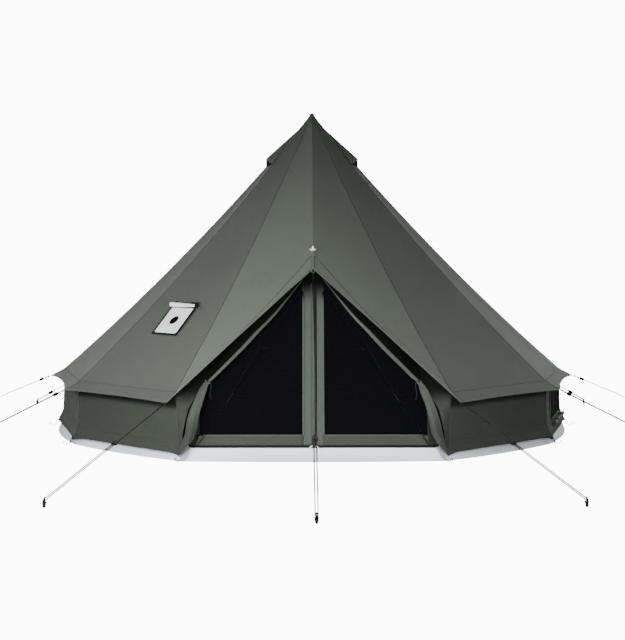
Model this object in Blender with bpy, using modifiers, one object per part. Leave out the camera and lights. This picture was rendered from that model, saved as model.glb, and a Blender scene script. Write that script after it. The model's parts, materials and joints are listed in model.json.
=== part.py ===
"""Canvas bell tent, pitched: a twelve-sided canopy on a centre pole, a low wall, a groundsheet,
an A-frame over the mesh doors, a stove jack, two roof vents and twelve guy lines.

Metres, +Z up, origin on the ground under the centre pole. The doors face -Y.
Azimuths are in degrees from the doors, positive towards +X.
"""

from math import cos, hypot, pi, radians, sin, sqrt

import bmesh
import bpy
from mathutils import Matrix, Vector

# Canopy
SIDES = 12
EAVE_RADIUS = 1.956
EAVE_HEIGHT = 0.462
TIP_RADIUS = 2.07
TIP_HEIGHT = 0.401
PEAK_HEIGHT = 2.46
PEAK_RING = 0.005
ROOF_SAG = 0.075
ROOF_ROWS = 8
DOOR_EAVE_ANGLE = 28.6
VALANCE_SCOOP = 0.038
FRONT_SCOOP = 0.012
AWNING_SCOOP = 0.015
CANVAS = 0.004

# Wall and groundsheet
BASE_RADIUS = 2.0
DOOR_BASE_ANGLE = 26.5
WALL_HEM_HEIGHT = 0.05
WALL_FLARE = 0.012
FLARE_HEIGHT = 0.14
BAND_HEIGHT = 0.10
BAND_LEAN = 0.045
SHEET = 0.004

# Front ridge and A-frame
PIN_FORWARD = 1.12
PIN_HEIGHT = 1.401
AWNING_REACH = 0.173
PIN_RADIUS = 0.004
PIN_RISE = 0.030
WASHER_RADIUS = 0.024
WASHER_THICKNESS = 0.006
WASHER_TILT = 15
LEG_RADIUS = 0.0095
LEG_SPREAD = 0.80
LEG_SET_BACK = 0.09
ELBOW_RADIUS = 0.024
ELBOW_ARM = 0.045
ELBOW_STEPS = 8

# Centre pole
POLE_RADIUS = 0.016
POLE_WALL = 0.0015
POLE_JOINT_HEIGHT = 1.22
SPIGOT_LENGTH = 0.08
FOOT_RADIUS = 0.030
FOOT_THICKNESS = 0.012
CUP_RADIUS = 0.036
CUP_TIP_RADIUS = 0.012
CUP_DEPTH = 0.050
CUP_WALL = 0.004

# Doors: each mesh leaf folds about a line from the zip's top to the door's lower corner
DOOR_TOP_HEIGHT = 1.35
DOOR_TOP_BACK = 0.014
DOOR_THICKNESS = 0.003
LEAF_TOP_HEIGHT = 1.21
LEAF_HALF_WIDTH = 0.79
LEAF_BLUNT = 0.012
CREASE_RADIUS = 1.66
ZIP_WIDTH = 0.012
ZIP_LENGTH = 0.026
ZIP_THICKNESS = 0.008
ZIP_TAB_WIDTH = 0.007
ZIP_TAB_LENGTH = 0.034
ZIP_TAB_THICKNESS = 0.003

# Canvas doors gathered to the sides: across, height, in front of the leaves, thickness halved
ROLL_ROUTE = (
    (0.086, 1.170, 0.030, 0.007),
    (0.179, 1.067, 0.036, 0.012),
    (0.289, 0.937, 0.045, 0.018),
    (0.398, 0.828, 0.050, 0.021),
    (0.498, 0.722, 0.050, 0.021),
    (0.614, 0.608, 0.050, 0.019),
    (0.684, 0.540, 0.047, 0.017),
    (0.726, 0.499, 0.047, 0.015),
    (0.758, 0.435, 0.055, 0.027),
    (0.802, 0.319, 0.065, 0.034),
    (0.822, 0.227, 0.075, 0.037),
    (0.833, 0.159, 0.082, 0.036),
    (0.855, 0.100, 0.087, 0.030),
)
ROLL_FOLDS = 5
FOLD_DEPTH = 0.25
ROLL_SEGMENTS = 20
ROLL_STEPS = 2

# Stove jack, on the roof panel left of the doors
JACK_ACROSS = 0.485
JACK_RADIUS = 1.472
JACK_WIDTH = 0.270
JACK_LENGTH = 0.285
JACK_THICKNESS = 0.004
JACK_STAND_OFF = 0.005
JACK_HOLE_RADIUS = 0.039
JACK_CUT_SIZE = 0.19
COVER_LENGTH = 0.25
COVER_RADIUS = 0.016
TRIM_RADIUS = 0.012
ROLL_SQUEEZE = 0.9

# Roof vents, one over each side hip
VENT_TOP_RADIUS = 0.13
VENT_LIP_RADIUS = 0.345
VENT_TIP_RADIUS = 0.356
VENT_LIFT = 0.055
VENT_CLOTH = 0.003
VENT_STAND_OFF = 0.007

# Window, in the right wall beside the door panel
WINDOW_ACROSS = 0.60
WINDOW_WIDTH = 0.66
WINDOW_LOW = 0.13
WINDOW_HIGH = 0.40
WINDOW_LAP = 0.02
WINDOW_MESH = 0.003
WINDOW_ROLL_RADIUS = 0.015
WINDOW_ROLL_OUT = 0.016

# Guy lines
ROPE_RADIUS = 0.002
STRAND_GAP = 0.016
ROPE_TAIL = 0.014
LOOP_STEPS = 6
SIDE_STAKE_RADIUS = 2.93
REAR_STAKE_RADIUS = 2.80
DOOR_STAKE_RADIUS = 3.76
DOOR_STAKE_ANGLE = 24.1
FRONT_STAKE_RADIUS = 3.90
SIDE_RUNNER_AT = 0.07
REAR_RUNNER_AT = 0.636
DOOR_RUNNER_AT = 0.79
FRONT_RUNNER_AT = 2.17
RUNNER_LENGTH = 0.044
RUNNER_WIDTH = 0.026
RUNNER_THICKNESS = 0.009
STAKE_HEIGHT = 0.062
STAKE_THICKNESS = 0.006
STAKE_LEAN = 7.5
STAKE_FOOT_HALF_WIDTH = 0.008
STAKE_SHOULDER_HALF_WIDTH = 0.013
STAKE_NECK_HALF_WIDTH = 0.0035
STAKE_KNOB_HALF_WIDTH = 0.0065
LOOP_HEIGHT = 0.045
NECK_ROOM = 0.007

# Clearances: between pieces that touch, and between pieces that only pass
GAP = 0.0005
CLEAR = 0.002

UP = Vector((0, 0, 1))
ACROSS = Vector((1, 0, 0))

# Colour, roughness and metallic value of each material
FINISHES = {
    "canvas": ((0.115, 0.130, 0.108), 0.85, 0.0),
    "groundsheet": ((0.72, 0.73, 0.78), 0.55, 0.0),
    "mesh": ((0.012, 0.012, 0.016), 0.80, 0.0),
    "steel": ((0.55, 0.56, 0.58), 0.35, 1.0),
    "black_plastic": ((0.015, 0.015, 0.015), 0.45, 0.0),
    "white_plastic": ((0.85, 0.85, 0.84), 0.40, 0.0),
    "jack_cloth": ((0.82, 0.82, 0.84), 0.70, 0.0),
    "rope": ((0.16, 0.16, 0.16), 0.80, 0.0),
}


def clear_scene():
    for old in list(bpy.data.objects):
        bpy.data.objects.remove(old, do_unlink=True)


def new_collection(name):
    collection = bpy.data.collections.new(name)
    bpy.context.scene.collection.children.link(collection)
    return collection


def material(name):
    if name in bpy.data.materials:
        return bpy.data.materials[name]
    colour, roughness, metallic = FINISHES[name]
    made = bpy.data.materials.new(name)
    made.use_nodes = True
    shader = made.node_tree.nodes["Principled BSDF"]
    shader.inputs["Base Color"].default_value = (*colour, 1.0)
    shader.inputs["Roughness"].default_value = roughness
    shader.inputs["Metallic"].default_value = metallic
    return made


def add_object(name, data, finish=None, place=None):
    """One object among the tent's parts or, when it has no finish, among the cutters."""
    made = bpy.data.objects.new(name, data)
    if place:
        made.matrix_world = place
    if finish:
        TENT.objects.link(made)
        if not data.materials:
            data.materials.append(material(finish))
    else:
        CUTTERS.objects.link(made)
        made.hide_render = True
        made.display_type = "WIRE"
    return made


def mesh_from(bm, name, smooth=False):
    bmesh.ops.recalc_face_normals(bm, faces=bm.faces)
    data = bpy.data.meshes.new(name)
    bm.to_mesh(data)
    bm.free()
    if smooth:
        data.shade_smooth()
        data.set_sharp_from_angle(angle=radians(30))
    return data


def solidify(obj, thickness, offset):
    shell = obj.modifiers.new("Thickness", "SOLIDIFY")
    shell.thickness = thickness
    shell.offset = offset
    shell.use_even_offset = True
    shell.use_quality_normals = True


def boolean(obj, other, operation):
    cut = obj.modifiers.new(operation.title(), "BOOLEAN")
    cut.operation = operation
    cut.solver = "EXACT"
    cut.object = other


def frame_matrix(origin, x_axis, y_axis, z_axis):
    rotation = Matrix((x_axis, y_axis, z_axis)).transposed().to_4x4()
    return Matrix.Translation(origin) @ rotation


def add_box(name, size, place, finish=None):
    bm = bmesh.new()
    bmesh.ops.create_cube(bm, size=1)
    bmesh.ops.scale(bm, vec=size, verts=bm.verts)
    return add_object(name, mesh_from(bm, name), finish, place)


def add_cylinder(name, radius, depth, place, segments=24):
    bm = bmesh.new()
    bmesh.ops.create_cone(
        bm, cap_ends=True, segments=segments, radius1=radius, radius2=radius, depth=depth
    )
    return add_object(name, mesh_from(bm, name), place=place)


def add_tube(name, points, radius, finish):
    """A solid round bar along the points."""
    curve = bpy.data.curves.new(name, "CURVE")
    curve.dimensions = "3D"
    curve.bevel_depth = radius
    curve.bevel_resolution = 2
    curve.use_fill_caps = True
    spline = curve.splines.new("POLY")
    spline.points.add(len(points) - 1)
    for spot, point in zip(spline.points, points):
        spot.co = (*point, 1)
    return add_object(name, curve, finish)


def mesh_of_tube(tube, finish):
    """The tube as a welded mesh object of the same name, in place of the curve."""
    name = tube.name
    bpy.context.view_layer.update()
    graph = bpy.context.evaluated_depsgraph_get()
    data = bpy.data.meshes.new_from_object(tube.evaluated_get(graph))
    bm = bmesh.new()
    bm.from_mesh(data)
    bmesh.ops.remove_doubles(bm, verts=bm.verts, dist=0.00005)
    bmesh.ops.recalc_face_normals(bm, faces=bm.faces)
    bm.to_mesh(data)
    bm.free()
    data.materials.clear()
    place = tube.matrix_world.copy()
    bpy.data.objects.remove(tube, do_unlink=True)
    return add_object(name, data, finish, place)


def add_turned(name, profile, finish, place=None, steps=24):
    """A round piece from (radius, height) points down its outer side and, where hollow, up its bore."""
    bm = bmesh.new()
    closed = profile[0] == profile[-1]
    verts = [bm.verts.new((radius, 0, height)) for radius, height in profile[: -1 if closed else None]]
    if closed:
        verts.append(verts[0])
    for above, below in zip(verts, verts[1:]):
        bm.edges.new((above, below))
    data = bpy.data.meshes.new(name)
    bm.to_mesh(data)
    bm.free()
    made = add_object(name, data, finish, place)
    turn = made.modifiers.new("Turn", "SCREW")
    turn.steps = steps
    turn.render_steps = steps
    turn.use_merge_vertices = True
    turn.merge_threshold = 0.00005
    return made


def add_outline(name, rings, depth, finish):
    """Curve data for a flat outline, with any inner rings cut out, extruded both ways from its plane."""
    curve = bpy.data.curves.new(name, "CURVE")
    curve.dimensions = "2D"
    curve.fill_mode = "BOTH"
    curve.extrude = depth / 2
    for ring in rings:
        spline = curve.splines.new("POLY")
        spline.use_cyclic_u = True
        spline.points.add(len(ring) - 1)
        for spot, (x, y) in zip(spline.points, ring):
            spot.co = (x, y, 0, 1)
    curve.materials.append(material(finish))
    return curve


def add_sheet(name, points, faces, thickness, finish):
    """A flat or folded sheet through the points, thickened evenly about them."""
    bm = bmesh.new()
    verts = [bm.verts.new(point) for point in points]
    for face in faces:
        bm.faces.new([verts[k] for k in face])
    made = add_object(name, mesh_from(bm, name), finish)
    solidify(made, thickness, 0)
    return made


def toward(start, end, distance):
    return start + (end - start).normalized() * distance


def polar(radius, azimuth, height):
    angle = radians(azimuth)
    return Vector((radius * sin(angle), -radius * cos(angle), height))


def roof_height(radius):
    """Height of the canopy over a hip at this distance from the pole."""
    share = radius / EAVE_RADIUS
    return PEAK_HEIGHT + (EAVE_HEIGHT - PEAK_HEIGHT) * share - 4 * ROOF_SAG * share * (1 - share)


def roof_point(azimuth, radius):
    return polar(radius, azimuth, roof_height(radius))


def underside(radius):
    """Height of the canopy's lower face at this distance from the pole, over the middle of a panel."""
    at_hip = radius / cos(pi / SIDES)
    slope = (roof_height(at_hip) - roof_height(at_hip + CLEAR)) / CLEAR
    return roof_height(at_hip) - CANVAS * hypot(1, slope)


def hip_azimuths(door_angle):
    """The hips from the right of the doors, round the back, to the left of the doors."""
    step = 360 / SIDES
    return [door_angle] + [step * k for k in range(2, SIDES - 1)] + [360 - door_angle]


# The front ridge runs straight from the peak to the pin and on to the awning's point.
PIN_POINT = Vector((0, -PIN_FORWARD, PIN_HEIGHT))
RIDGE_TOP = roof_point(0, PEAK_RING)
RIDGE_RUN = (PIN_POINT - RIDGE_TOP).normalized()
RIDGE_SLOPE = abs(RIDGE_RUN.z / RIDGE_RUN.y)
AWNING_POINT = PIN_POINT + RIDGE_RUN * AWNING_REACH

# The doors lie in one sloping plane, from above the groundsheet's band to under the ridge.
DOOR_BOTTOM_HEIGHT = BAND_HEIGHT + CLEAR
DOOR_BOTTOM_Y = SHEET / 2 - (BASE_RADIUS - BAND_LEAN) * cos(radians(DOOR_BASE_ANGLE))
DOOR_TOP_Y = DOOR_TOP_BACK - PIN_FORWARD - (PIN_HEIGHT - DOOR_TOP_HEIGHT) / RIDGE_SLOPE
DOOR_SLOPE = (DOOR_TOP_Y - DOOR_BOTTOM_Y) / (DOOR_TOP_HEIGHT - DOOR_BOTTOM_HEIGHT)
DOOR_UP = Vector((0, DOOR_SLOPE, 1)).normalized()
DOOR_OUT = Vector((0, -1, DOOR_SLOPE)).normalized()


def door_point(across, height, out=0.0):
    """A point of the doors' plane, moved out of it by the last value."""
    y = DOOR_BOTTOM_Y + DOOR_SLOPE * (height - DOOR_BOTTOM_HEIGHT)
    return Vector((across, y, height)) + DOOR_OUT * out


def hip_profile(azimuth):
    """A hip from the peak to the eave seam, then the valance's tip."""
    radii = [PEAK_RING] + [EAVE_RADIUS * row / ROOF_ROWS for row in range(1, ROOF_ROWS + 1)]
    return [roof_point(azimuth, radius) for radius in radii] + [polar(TIP_RADIUS, azimuth, TIP_HEIGHT)]


def ridge_profile():
    points = [RIDGE_TOP.lerp(PIN_POINT, row / ROOF_ROWS) for row in range(ROOF_ROWS + 1)]
    return points + [AWNING_POINT]


def canopy_columns():
    """Profiles round the roof: the ridge, the hips, and one with a drawn-up hem between each two."""
    profiles = [ridge_profile()] + [hip_profile(a) for a in hip_azimuths(DOOR_EAVE_ANGLE)]
    columns = []
    for index, profile in enumerate(profiles):
        following = profiles[(index + 1) % len(profiles)]
        middle = [a.lerp(b, 0.5) for a, b in zip(profile, following)]
        from_ridge = min(index, len(profiles) - 1 - index)
        scoop = (AWNING_SCOOP, FRONT_SCOOP)[from_ridge] if from_ridge < 2 else VALANCE_SCOOP
        middle[-1] = toward(middle[-1], middle[-2], scoop)
        columns += [profile, middle]
    return columns


def grid(columns, closed):
    """A sheet of quads through the columns, joined round when closed."""
    bm = bmesh.new()
    verts = [[bm.verts.new(point) for point in column] for column in columns]
    pairs = list(zip(verts, verts[1:]))
    if closed:
        pairs.append((verts[-1], verts[0]))
    for left, right in pairs:
        for row in range(len(left) - 1):
            bm.faces.new((left[row], left[row + 1], right[row + 1], right[row]))
    return bm, verts


def face_outward(data):
    """Turns an open sheet round the pole so that its faces look away from the pole."""
    first = data.polygons[0]
    if first.normal.dot(Vector((first.center.x, first.center.y, 0))) < 0:
        data.flip_normals()


def jack_frame():
    """Centre, across, up-slope and outward directions of the stove jack on its roof panel."""
    hips = (-360 / SIDES * 2, -DOOR_EAVE_ANGLE)
    centre, below = (
        roof_point(hips[0], radius).lerp(roof_point(hips[1], radius), JACK_ACROSS)
        for radius in (JACK_RADIUS, JACK_RADIUS + CLEAR)
    )
    side = (roof_point(hips[1], JACK_RADIUS) - roof_point(hips[0], JACK_RADIUS)).normalized()
    out = (below - centre).cross(side).normalized()
    return centre, side, out.cross(side), out


def build_canopy():
    bm, verts = grid(canopy_columns(), closed=True)
    bm.faces.new([column[0] for column in verts])
    canopy = add_object("roof_canopy", mesh_from(bm, "roof_canopy"), "canvas")
    solidify(canopy, CANVAS, -1)
    cut_size = (JACK_CUT_SIZE, JACK_CUT_SIZE, JACK_CUT_SIZE / 2)
    opening = add_box("flue_cutter", cut_size, frame_matrix(*jack_frame()))
    boolean(canopy, opening, "DIFFERENCE")
    hole_depth = 2 * (PIN_RISE + CANVAS)
    pin_place = Matrix.Translation(PIN_POINT)
    grommet = add_cylinder("pin_cutter", PIN_RADIUS + CLEAR, hole_depth, pin_place, segments=16)
    boolean(canopy, grommet, "DIFFERENCE")


def wall_top_height():
    """The wall stops just under the canopy's lower face."""
    slope = (roof_height(EAVE_RADIUS - CLEAR) - EAVE_HEIGHT) / CLEAR
    return EAVE_HEIGHT - CANVAS * hypot(1, slope) - GAP


def wall_column(index):
    """The wall at a hip, from its flared hem up to the eave."""
    top = wall_top_height()
    hem_radius = BASE_RADIUS + WALL_FLARE
    flare_radius = EAVE_RADIUS + WALL_FLARE
    window_share = (top - WINDOW_HIGH) / (top - FLARE_HEIGHT)
    stations = (
        (WALL_HEM_HEIGHT, hem_radius),
        (BAND_HEIGHT, (hem_radius + flare_radius) / 2),
        (FLARE_HEIGHT, flare_radius),
        (WINDOW_HIGH, EAVE_RADIUS + WALL_FLARE * window_share),
        (top, EAVE_RADIUS),
    )
    upper = hip_azimuths(DOOR_EAVE_ANGLE)[index]
    lower = hip_azimuths(DOOR_BASE_ANGLE)[index]
    return [
        polar(radius, lower + (upper - lower) * height / top, height) for height, radius in stations
    ]


def window_frame():
    """Centre of the window on the wall's outer face, with its across, up and outward directions."""
    near, far = wall_column(1), wall_column(2)
    low = near[2].lerp(far[2], WINDOW_ACROSS)
    high = near[3].lerp(far[3], WINDOW_ACROSS)
    side = (far[2] - near[2]).normalized()
    up = (high - low).normalized()
    middle = (WINDOW_LOW + WINDOW_HIGH) / 2
    centre = low.lerp(high, (middle - low.z) / (high.z - low.z))
    return centre, side, up, side.cross(up)


def build_wall():
    hips = [wall_column(index) for index in range(SIDES - 1)]
    columns = []
    for hip, following in zip(hips, hips[1:]):
        columns += [hip, [a.lerp(b, 0.5) for a, b in zip(hip, following)]]
    columns.append(hips[-1])
    bm, _ = grid(columns, closed=False)
    wall = add_object("wall_curtain", mesh_from(bm, "wall_curtain"), "canvas")
    face_outward(wall.data)
    solidify(wall, CANVAS, -1)
    size = (WINDOW_WIDTH, WINDOW_HIGH - WINDOW_LOW, 8 * CANVAS)
    opening = add_box("window_cutter", size, frame_matrix(*window_frame()))
    boolean(wall, opening, "DIFFERENCE")


def build_window():
    """The mesh behind the opening, and the cover rolled up along its lower edge."""
    centre, side, up, out = window_frame()
    height = WINDOW_HIGH - WINDOW_LOW
    inside = centre - out * (CANVAS + GAP + WINDOW_MESH / 2)
    size = (WINDOW_WIDTH + 2 * WINDOW_LAP, height + 2 * WINDOW_LAP, WINDOW_MESH)
    add_box("window_mesh", size, frame_matrix(inside, side, up, out), "mesh")
    stand_off = WINDOW_ROLL_RADIUS + GAP + WINDOW_ROLL_OUT
    middle = centre - up * (height / 2 + WINDOW_ROLL_RADIUS) + out * stand_off
    half = side * (WINDOW_WIDTH / 2)
    add_tube("window_cover", [middle - half, middle + half], WINDOW_ROLL_RADIUS, "canvas")


def build_groundsheet():
    """A tray: its floor lies on the ground, and its band stands up inside the wall."""
    azimuths = hip_azimuths(DOOR_BASE_ANGLE)
    inset = SHEET / cos(radians(180 / SIDES)) ** 2
    top_radius = BASE_RADIUS - BAND_LEAN
    floor_radius = BASE_RADIUS - BAND_LEAN * SHEET / BAND_HEIGHT
    loops = (
        (BASE_RADIUS, 0),
        (top_radius, BAND_HEIGHT),
        (top_radius - inset, BAND_HEIGHT),
        (floor_radius - inset, SHEET),
    )
    bm = bmesh.new()
    rings = [[bm.verts.new(polar(radius, azimuth, height)) for azimuth in azimuths] for radius, height in loops]
    for ring, following in zip(rings, rings[1:]):
        for index in range(len(azimuths)):
            after = (index + 1) % len(azimuths)
            bm.faces.new((ring[index], ring[after], following[after], following[index]))
    bm.faces.new(rings[0])
    bm.faces.new(rings[-1])
    bmesh.ops.recalc_face_normals(bm, faces=bm.faces)
    add_object("groundsheet", mesh_from(bm, "groundsheet"), "groundsheet")


def build_centre_pole():
    """A foot on the groundsheet, two tubes joined by a spigot, and a cup under the peak."""
    bore = POLE_RADIUS - POLE_WALL
    plug = bore - GAP
    foot_base = SHEET + GAP
    foot_top = foot_base + FOOT_THICKNESS
    add_turned("pole_foot", [
        (0, foot_top + SPIGOT_LENGTH / 2),
        (plug, foot_top + SPIGOT_LENGTH / 2),
        (plug, foot_top),
        (FOOT_RADIUS - FOOT_THICKNESS / 2, foot_top),
        (FOOT_RADIUS, foot_base + FOOT_THICKNESS / 2),
        (FOOT_RADIUS, foot_base),
        (0, foot_base),
    ], "black_plastic")
    add_turned("centre_pole_lower", [
        (bore, POLE_JOINT_HEIGHT),
        (POLE_RADIUS, POLE_JOINT_HEIGHT),
        (POLE_RADIUS, foot_top + GAP),
        (bore, foot_top + GAP),
        (bore, POLE_JOINT_HEIGHT),
    ], "steel")
    rim = underside(CUP_RADIUS) - CLEAR
    socket_top = rim - CUP_WALL
    joint = POLE_JOINT_HEIGHT + GAP
    pole_top = socket_top - GAP
    add_turned("centre_pole_upper", [
        (bore, pole_top),
        (POLE_RADIUS, pole_top),
        (POLE_RADIUS, joint),
        (plug, joint),
        (plug, joint - SPIGOT_LENGTH),
        (plug - POLE_WALL, joint - SPIGOT_LENGTH),
        (plug - POLE_WALL, joint + SPIGOT_LENGTH),
        (bore, joint + SPIGOT_LENGTH),
        (bore, pole_top),
    ], "steel")
    crown = underside(CUP_TIP_RADIUS) - CLEAR
    socket = POLE_RADIUS + GAP
    add_turned("pole_top_cup", [
        (0, crown),
        (CUP_TIP_RADIUS, crown),
        (CUP_RADIUS, rim),
        (CUP_RADIUS, rim - CUP_WALL),
        (socket + CUP_WALL, rim - CUP_DEPTH),
        (socket, rim - CUP_DEPTH),
        (socket, socket_top),
        (0, socket_top),
    ], "black_plastic")


def leg_directions(corner):
    """Where the two legs stand, and their directions down from the corner."""
    feet = [
        Vector((side * LEG_SPREAD, DOOR_BOTTOM_Y + LEG_SET_BACK, SHEET + GAP + LEG_RADIUS))
        for side in (-1, 1)
    ]
    return feet, [(foot - corner).normalized() for foot in feet]


def elbow_offset(runs):
    """Half the angle between the legs, and how far the bend's crown lies below their corner."""
    half = runs[0].angle(runs[1]) / 2
    return half, ELBOW_RADIUS * (1 / sin(half) - 1)


def build_a_frame():
    """Two legs, and the bent joint between them with its upright pin."""
    crown_drop = (CANVAS + LEG_RADIUS + CLEAR) * hypot(1, RIDGE_SLOPE)
    crown = PIN_POINT - UP * crown_drop
    _, runs = leg_directions(crown)
    down = (runs[0] + runs[1]).normalized()
    corner = crown - down * elbow_offset(runs)[1]
    feet, runs = leg_directions(corner)
    half, drop = elbow_offset(runs)
    down = (runs[0] + runs[1]).normalized()
    sideways = (runs[1] - runs[0]).normalized()
    centre = corner + down * (drop + ELBOW_RADIUS)
    sweep = pi / 2 - half
    bend = []
    for step in range(ELBOW_STEPS + 1):
        angle = sweep * (2 * step / ELBOW_STEPS - 1)
        bend.append(centre + (sideways * sin(angle) - down * cos(angle)) * ELBOW_RADIUS)
    arm = ELBOW_RADIUS * cos(half) / sin(half) + ELBOW_ARM
    bend = [corner + runs[0] * arm] + bend + [corner + runs[1] * arm]
    apex = mesh_of_tube(add_tube("a_frame_apex", bend, LEG_RADIUS, "steel"), "steel")
    pin_top = PIN_HEIGHT + PIN_RISE
    pin_length = pin_top - crown.z
    pin_place = Matrix.Translation((0, PIN_POINT.y, pin_top - pin_length / 2))
    pin = add_cylinder("pin_core", PIN_RADIUS, pin_length, pin_place, segments=12)
    boolean(apex, pin, "UNION")
    for name, foot, run in zip(("a_frame_leg_left", "a_frame_leg_right"), feet, runs):
        add_tube(name, [foot, corner + run * (arm + GAP)], LEG_RADIUS, "steel")


def build_washer():
    """It tilts forward a little, and its back edge bears on the sloping ridge."""
    tilt = radians(WASHER_TILT)
    lift = WASHER_RADIUS * (RIDGE_SLOPE * cos(tilt) - sin(tilt)) + GAP
    bore = PIN_RADIUS / cos(tilt) + CLEAR
    edge = WASHER_THICKNESS / 4
    place = Matrix.Translation(PIN_POINT + UP * lift) @ Matrix.Rotation(tilt, 4, "X")
    add_turned("apex_washer", [
        (bore, WASHER_THICKNESS),
        (WASHER_RADIUS - edge, WASHER_THICKNESS),
        (WASHER_RADIUS, WASHER_THICKNESS - edge),
        (WASHER_RADIUS, edge),
        (WASHER_RADIUS - edge, 0),
        (bore, 0),
        (bore, WASHER_THICKNESS),
    ], "white_plastic", place)


def leaf_corners(side):
    """The leaf's corners: the two ends of its fold line, and the foot of the zip."""
    top = door_point(side * CLEAR, LEAF_TOP_HEIGHT)
    foot = door_point(side * LEAF_HALF_WIDTH, DOOR_BOTTOM_HEIGHT)
    zip_foot = door_point(side * CLEAR, DOOR_BOTTOM_HEIGHT)
    return top, foot, zip_foot


def build_door_leaf(side, label):
    """A mesh door between the zip and its fold line, which it hangs on from its top corner."""
    top, foot, zip_foot = leaf_corners(side)
    blunted = [
        toward(top, foot, LEAF_BLUNT),
        toward(top, zip_foot, LEAF_BLUNT),
        zip_foot,
        toward(foot, zip_foot, LEAF_BLUNT),
        toward(foot, top, LEAF_BLUNT),
    ]
    outline = [corner - top for corner in blunted]
    leaf = add_sheet(f"mesh_door_{label}", outline, [range(len(outline))], DOOR_THICKNESS, "mesh")
    leaf.location = top


def build_door_side(side, label):
    """The fixed part of the front: from the fold line out to the canopy, and back to the wall's end."""
    top, foot, zip_foot = leaf_corners(side)
    across = (zip_foot - foot).normalized()
    along = (top - foot).normalized()
    away = (across - along * across.dot(along)).normalized() * -2 * CLEAR
    wall_end = [Vector((side * abs(point.x), point.y, point.z)) for point in wall_column(0)]
    inset = Vector((-side * 2 * CANVAS, 2 * CANVAS, 0))
    drop = UP * 4 * CANVAS
    eave = wall_end[-1] + inset - drop / 2
    base = wall_end[1] + inset
    base.z = DOOR_BOTTOM_HEIGHT
    hip = roof_point(side * DOOR_EAVE_ANGLE, CREASE_RADIUS) - drop
    ridge = door_point(side * 2 * CLEAR, DOOR_TOP_HEIGHT)
    points = [top + away, ridge, hip, eave, base, foot + away]
    faces = [(0, 1, 2), (0, 2, 5), (5, 2, 3), (5, 3, 4)]
    add_sheet(f"door_side_{label}", points, faces, DOOR_THICKNESS, "canvas")


def smooth_route(points, steps):
    """Points on a smooth curve through the given ones, each a tuple of any length."""
    found = []
    for index in range(len(points) - 1):
        a = points[max(index - 1, 0)]
        b, c = points[index], points[index + 1]
        d = points[min(index + 2, len(points) - 1)]
        for step in range(steps):
            t = step / steps
            weights = (
                (2 * t * t - t - t ** 3) / 2,
                (2 - 5 * t * t + 3 * t ** 3) / 2,
                (t + 4 * t * t - 3 * t ** 3) / 2,
                (t ** 3 - t * t) / 2,
            )
            found.append(tuple(
                sum(weight * value for weight, value in zip(weights, values))
                for values in zip(a, b, c, d)
            ))
    found.append(points[-1])
    return found


def build_door_roll(side, label):
    """A canvas door gathered into folds, tied at the knee and hanging from there."""
    route = smooth_route(ROLL_ROUTE, ROLL_STEPS)
    spine = [door_point(side * across, height, out) for across, height, out, _ in route]
    bm = bmesh.new()
    rings = []
    for index, centre in enumerate(spine):
        run = spine[min(index + 1, len(spine) - 1)] - spine[max(index - 1, 0)]
        across = run.cross(DOOR_OUT).normalized()
        out = across.cross(run).normalized()
        ring = []
        for segment in range(ROLL_SEGMENTS):
            angle = 2 * pi * segment / ROLL_SEGMENTS
            reach = route[index][3] * (1 + FOLD_DEPTH * cos(ROLL_FOLDS * angle)) / (1 + FOLD_DEPTH)
            ring.append(bm.verts.new(centre + (across * cos(angle) + out * sin(angle)) * reach))
        rings.append(ring)
    for ring, following in zip(rings, rings[1:]):
        for segment in range(ROLL_SEGMENTS):
            after = (segment + 1) % ROLL_SEGMENTS
            bm.faces.new((ring[segment], ring[after], following[after], following[segment]))
    bm.faces.new(rings[0])
    bm.faces.new(rings[-1])
    name = f"door_roll_{label}"
    add_object(name, mesh_from(bm, name, smooth=True), "canvas")


def build_zip_slider():
    """The slider at the foot of the zip, on the left leaf's edge, with its tab hanging from it."""
    out = DOOR_THICKNESS / 2 + GAP + ZIP_THICKNESS / 2
    across = -ZIP_WIDTH / 2 - GAP
    foot = door_point(across, DOOR_BOTTOM_HEIGHT, out)
    centre = foot + DOOR_UP * (ZIP_TAB_LENGTH + ZIP_LENGTH / 2)
    size = (ZIP_WIDTH, ZIP_LENGTH, ZIP_THICKNESS)
    slider = add_box("zip_slider", size, frame_matrix(centre, ACROSS, DOOR_UP, DOOR_OUT), "white_plastic")
    overlap = ZIP_LENGTH / 2
    tab_size = (ZIP_TAB_WIDTH, ZIP_TAB_LENGTH + overlap, ZIP_TAB_THICKNESS)
    tab_out = (ZIP_THICKNESS - ZIP_TAB_THICKNESS) / 4
    tab_centre = foot + DOOR_UP * (ZIP_TAB_LENGTH + overlap) / 2 + DOOR_OUT * tab_out
    tab = add_box("zip_tab_core", tab_size, frame_matrix(tab_centre, ACROSS, DOOR_UP, DOOR_OUT))
    boolean(slider, tab, "UNION")


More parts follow.
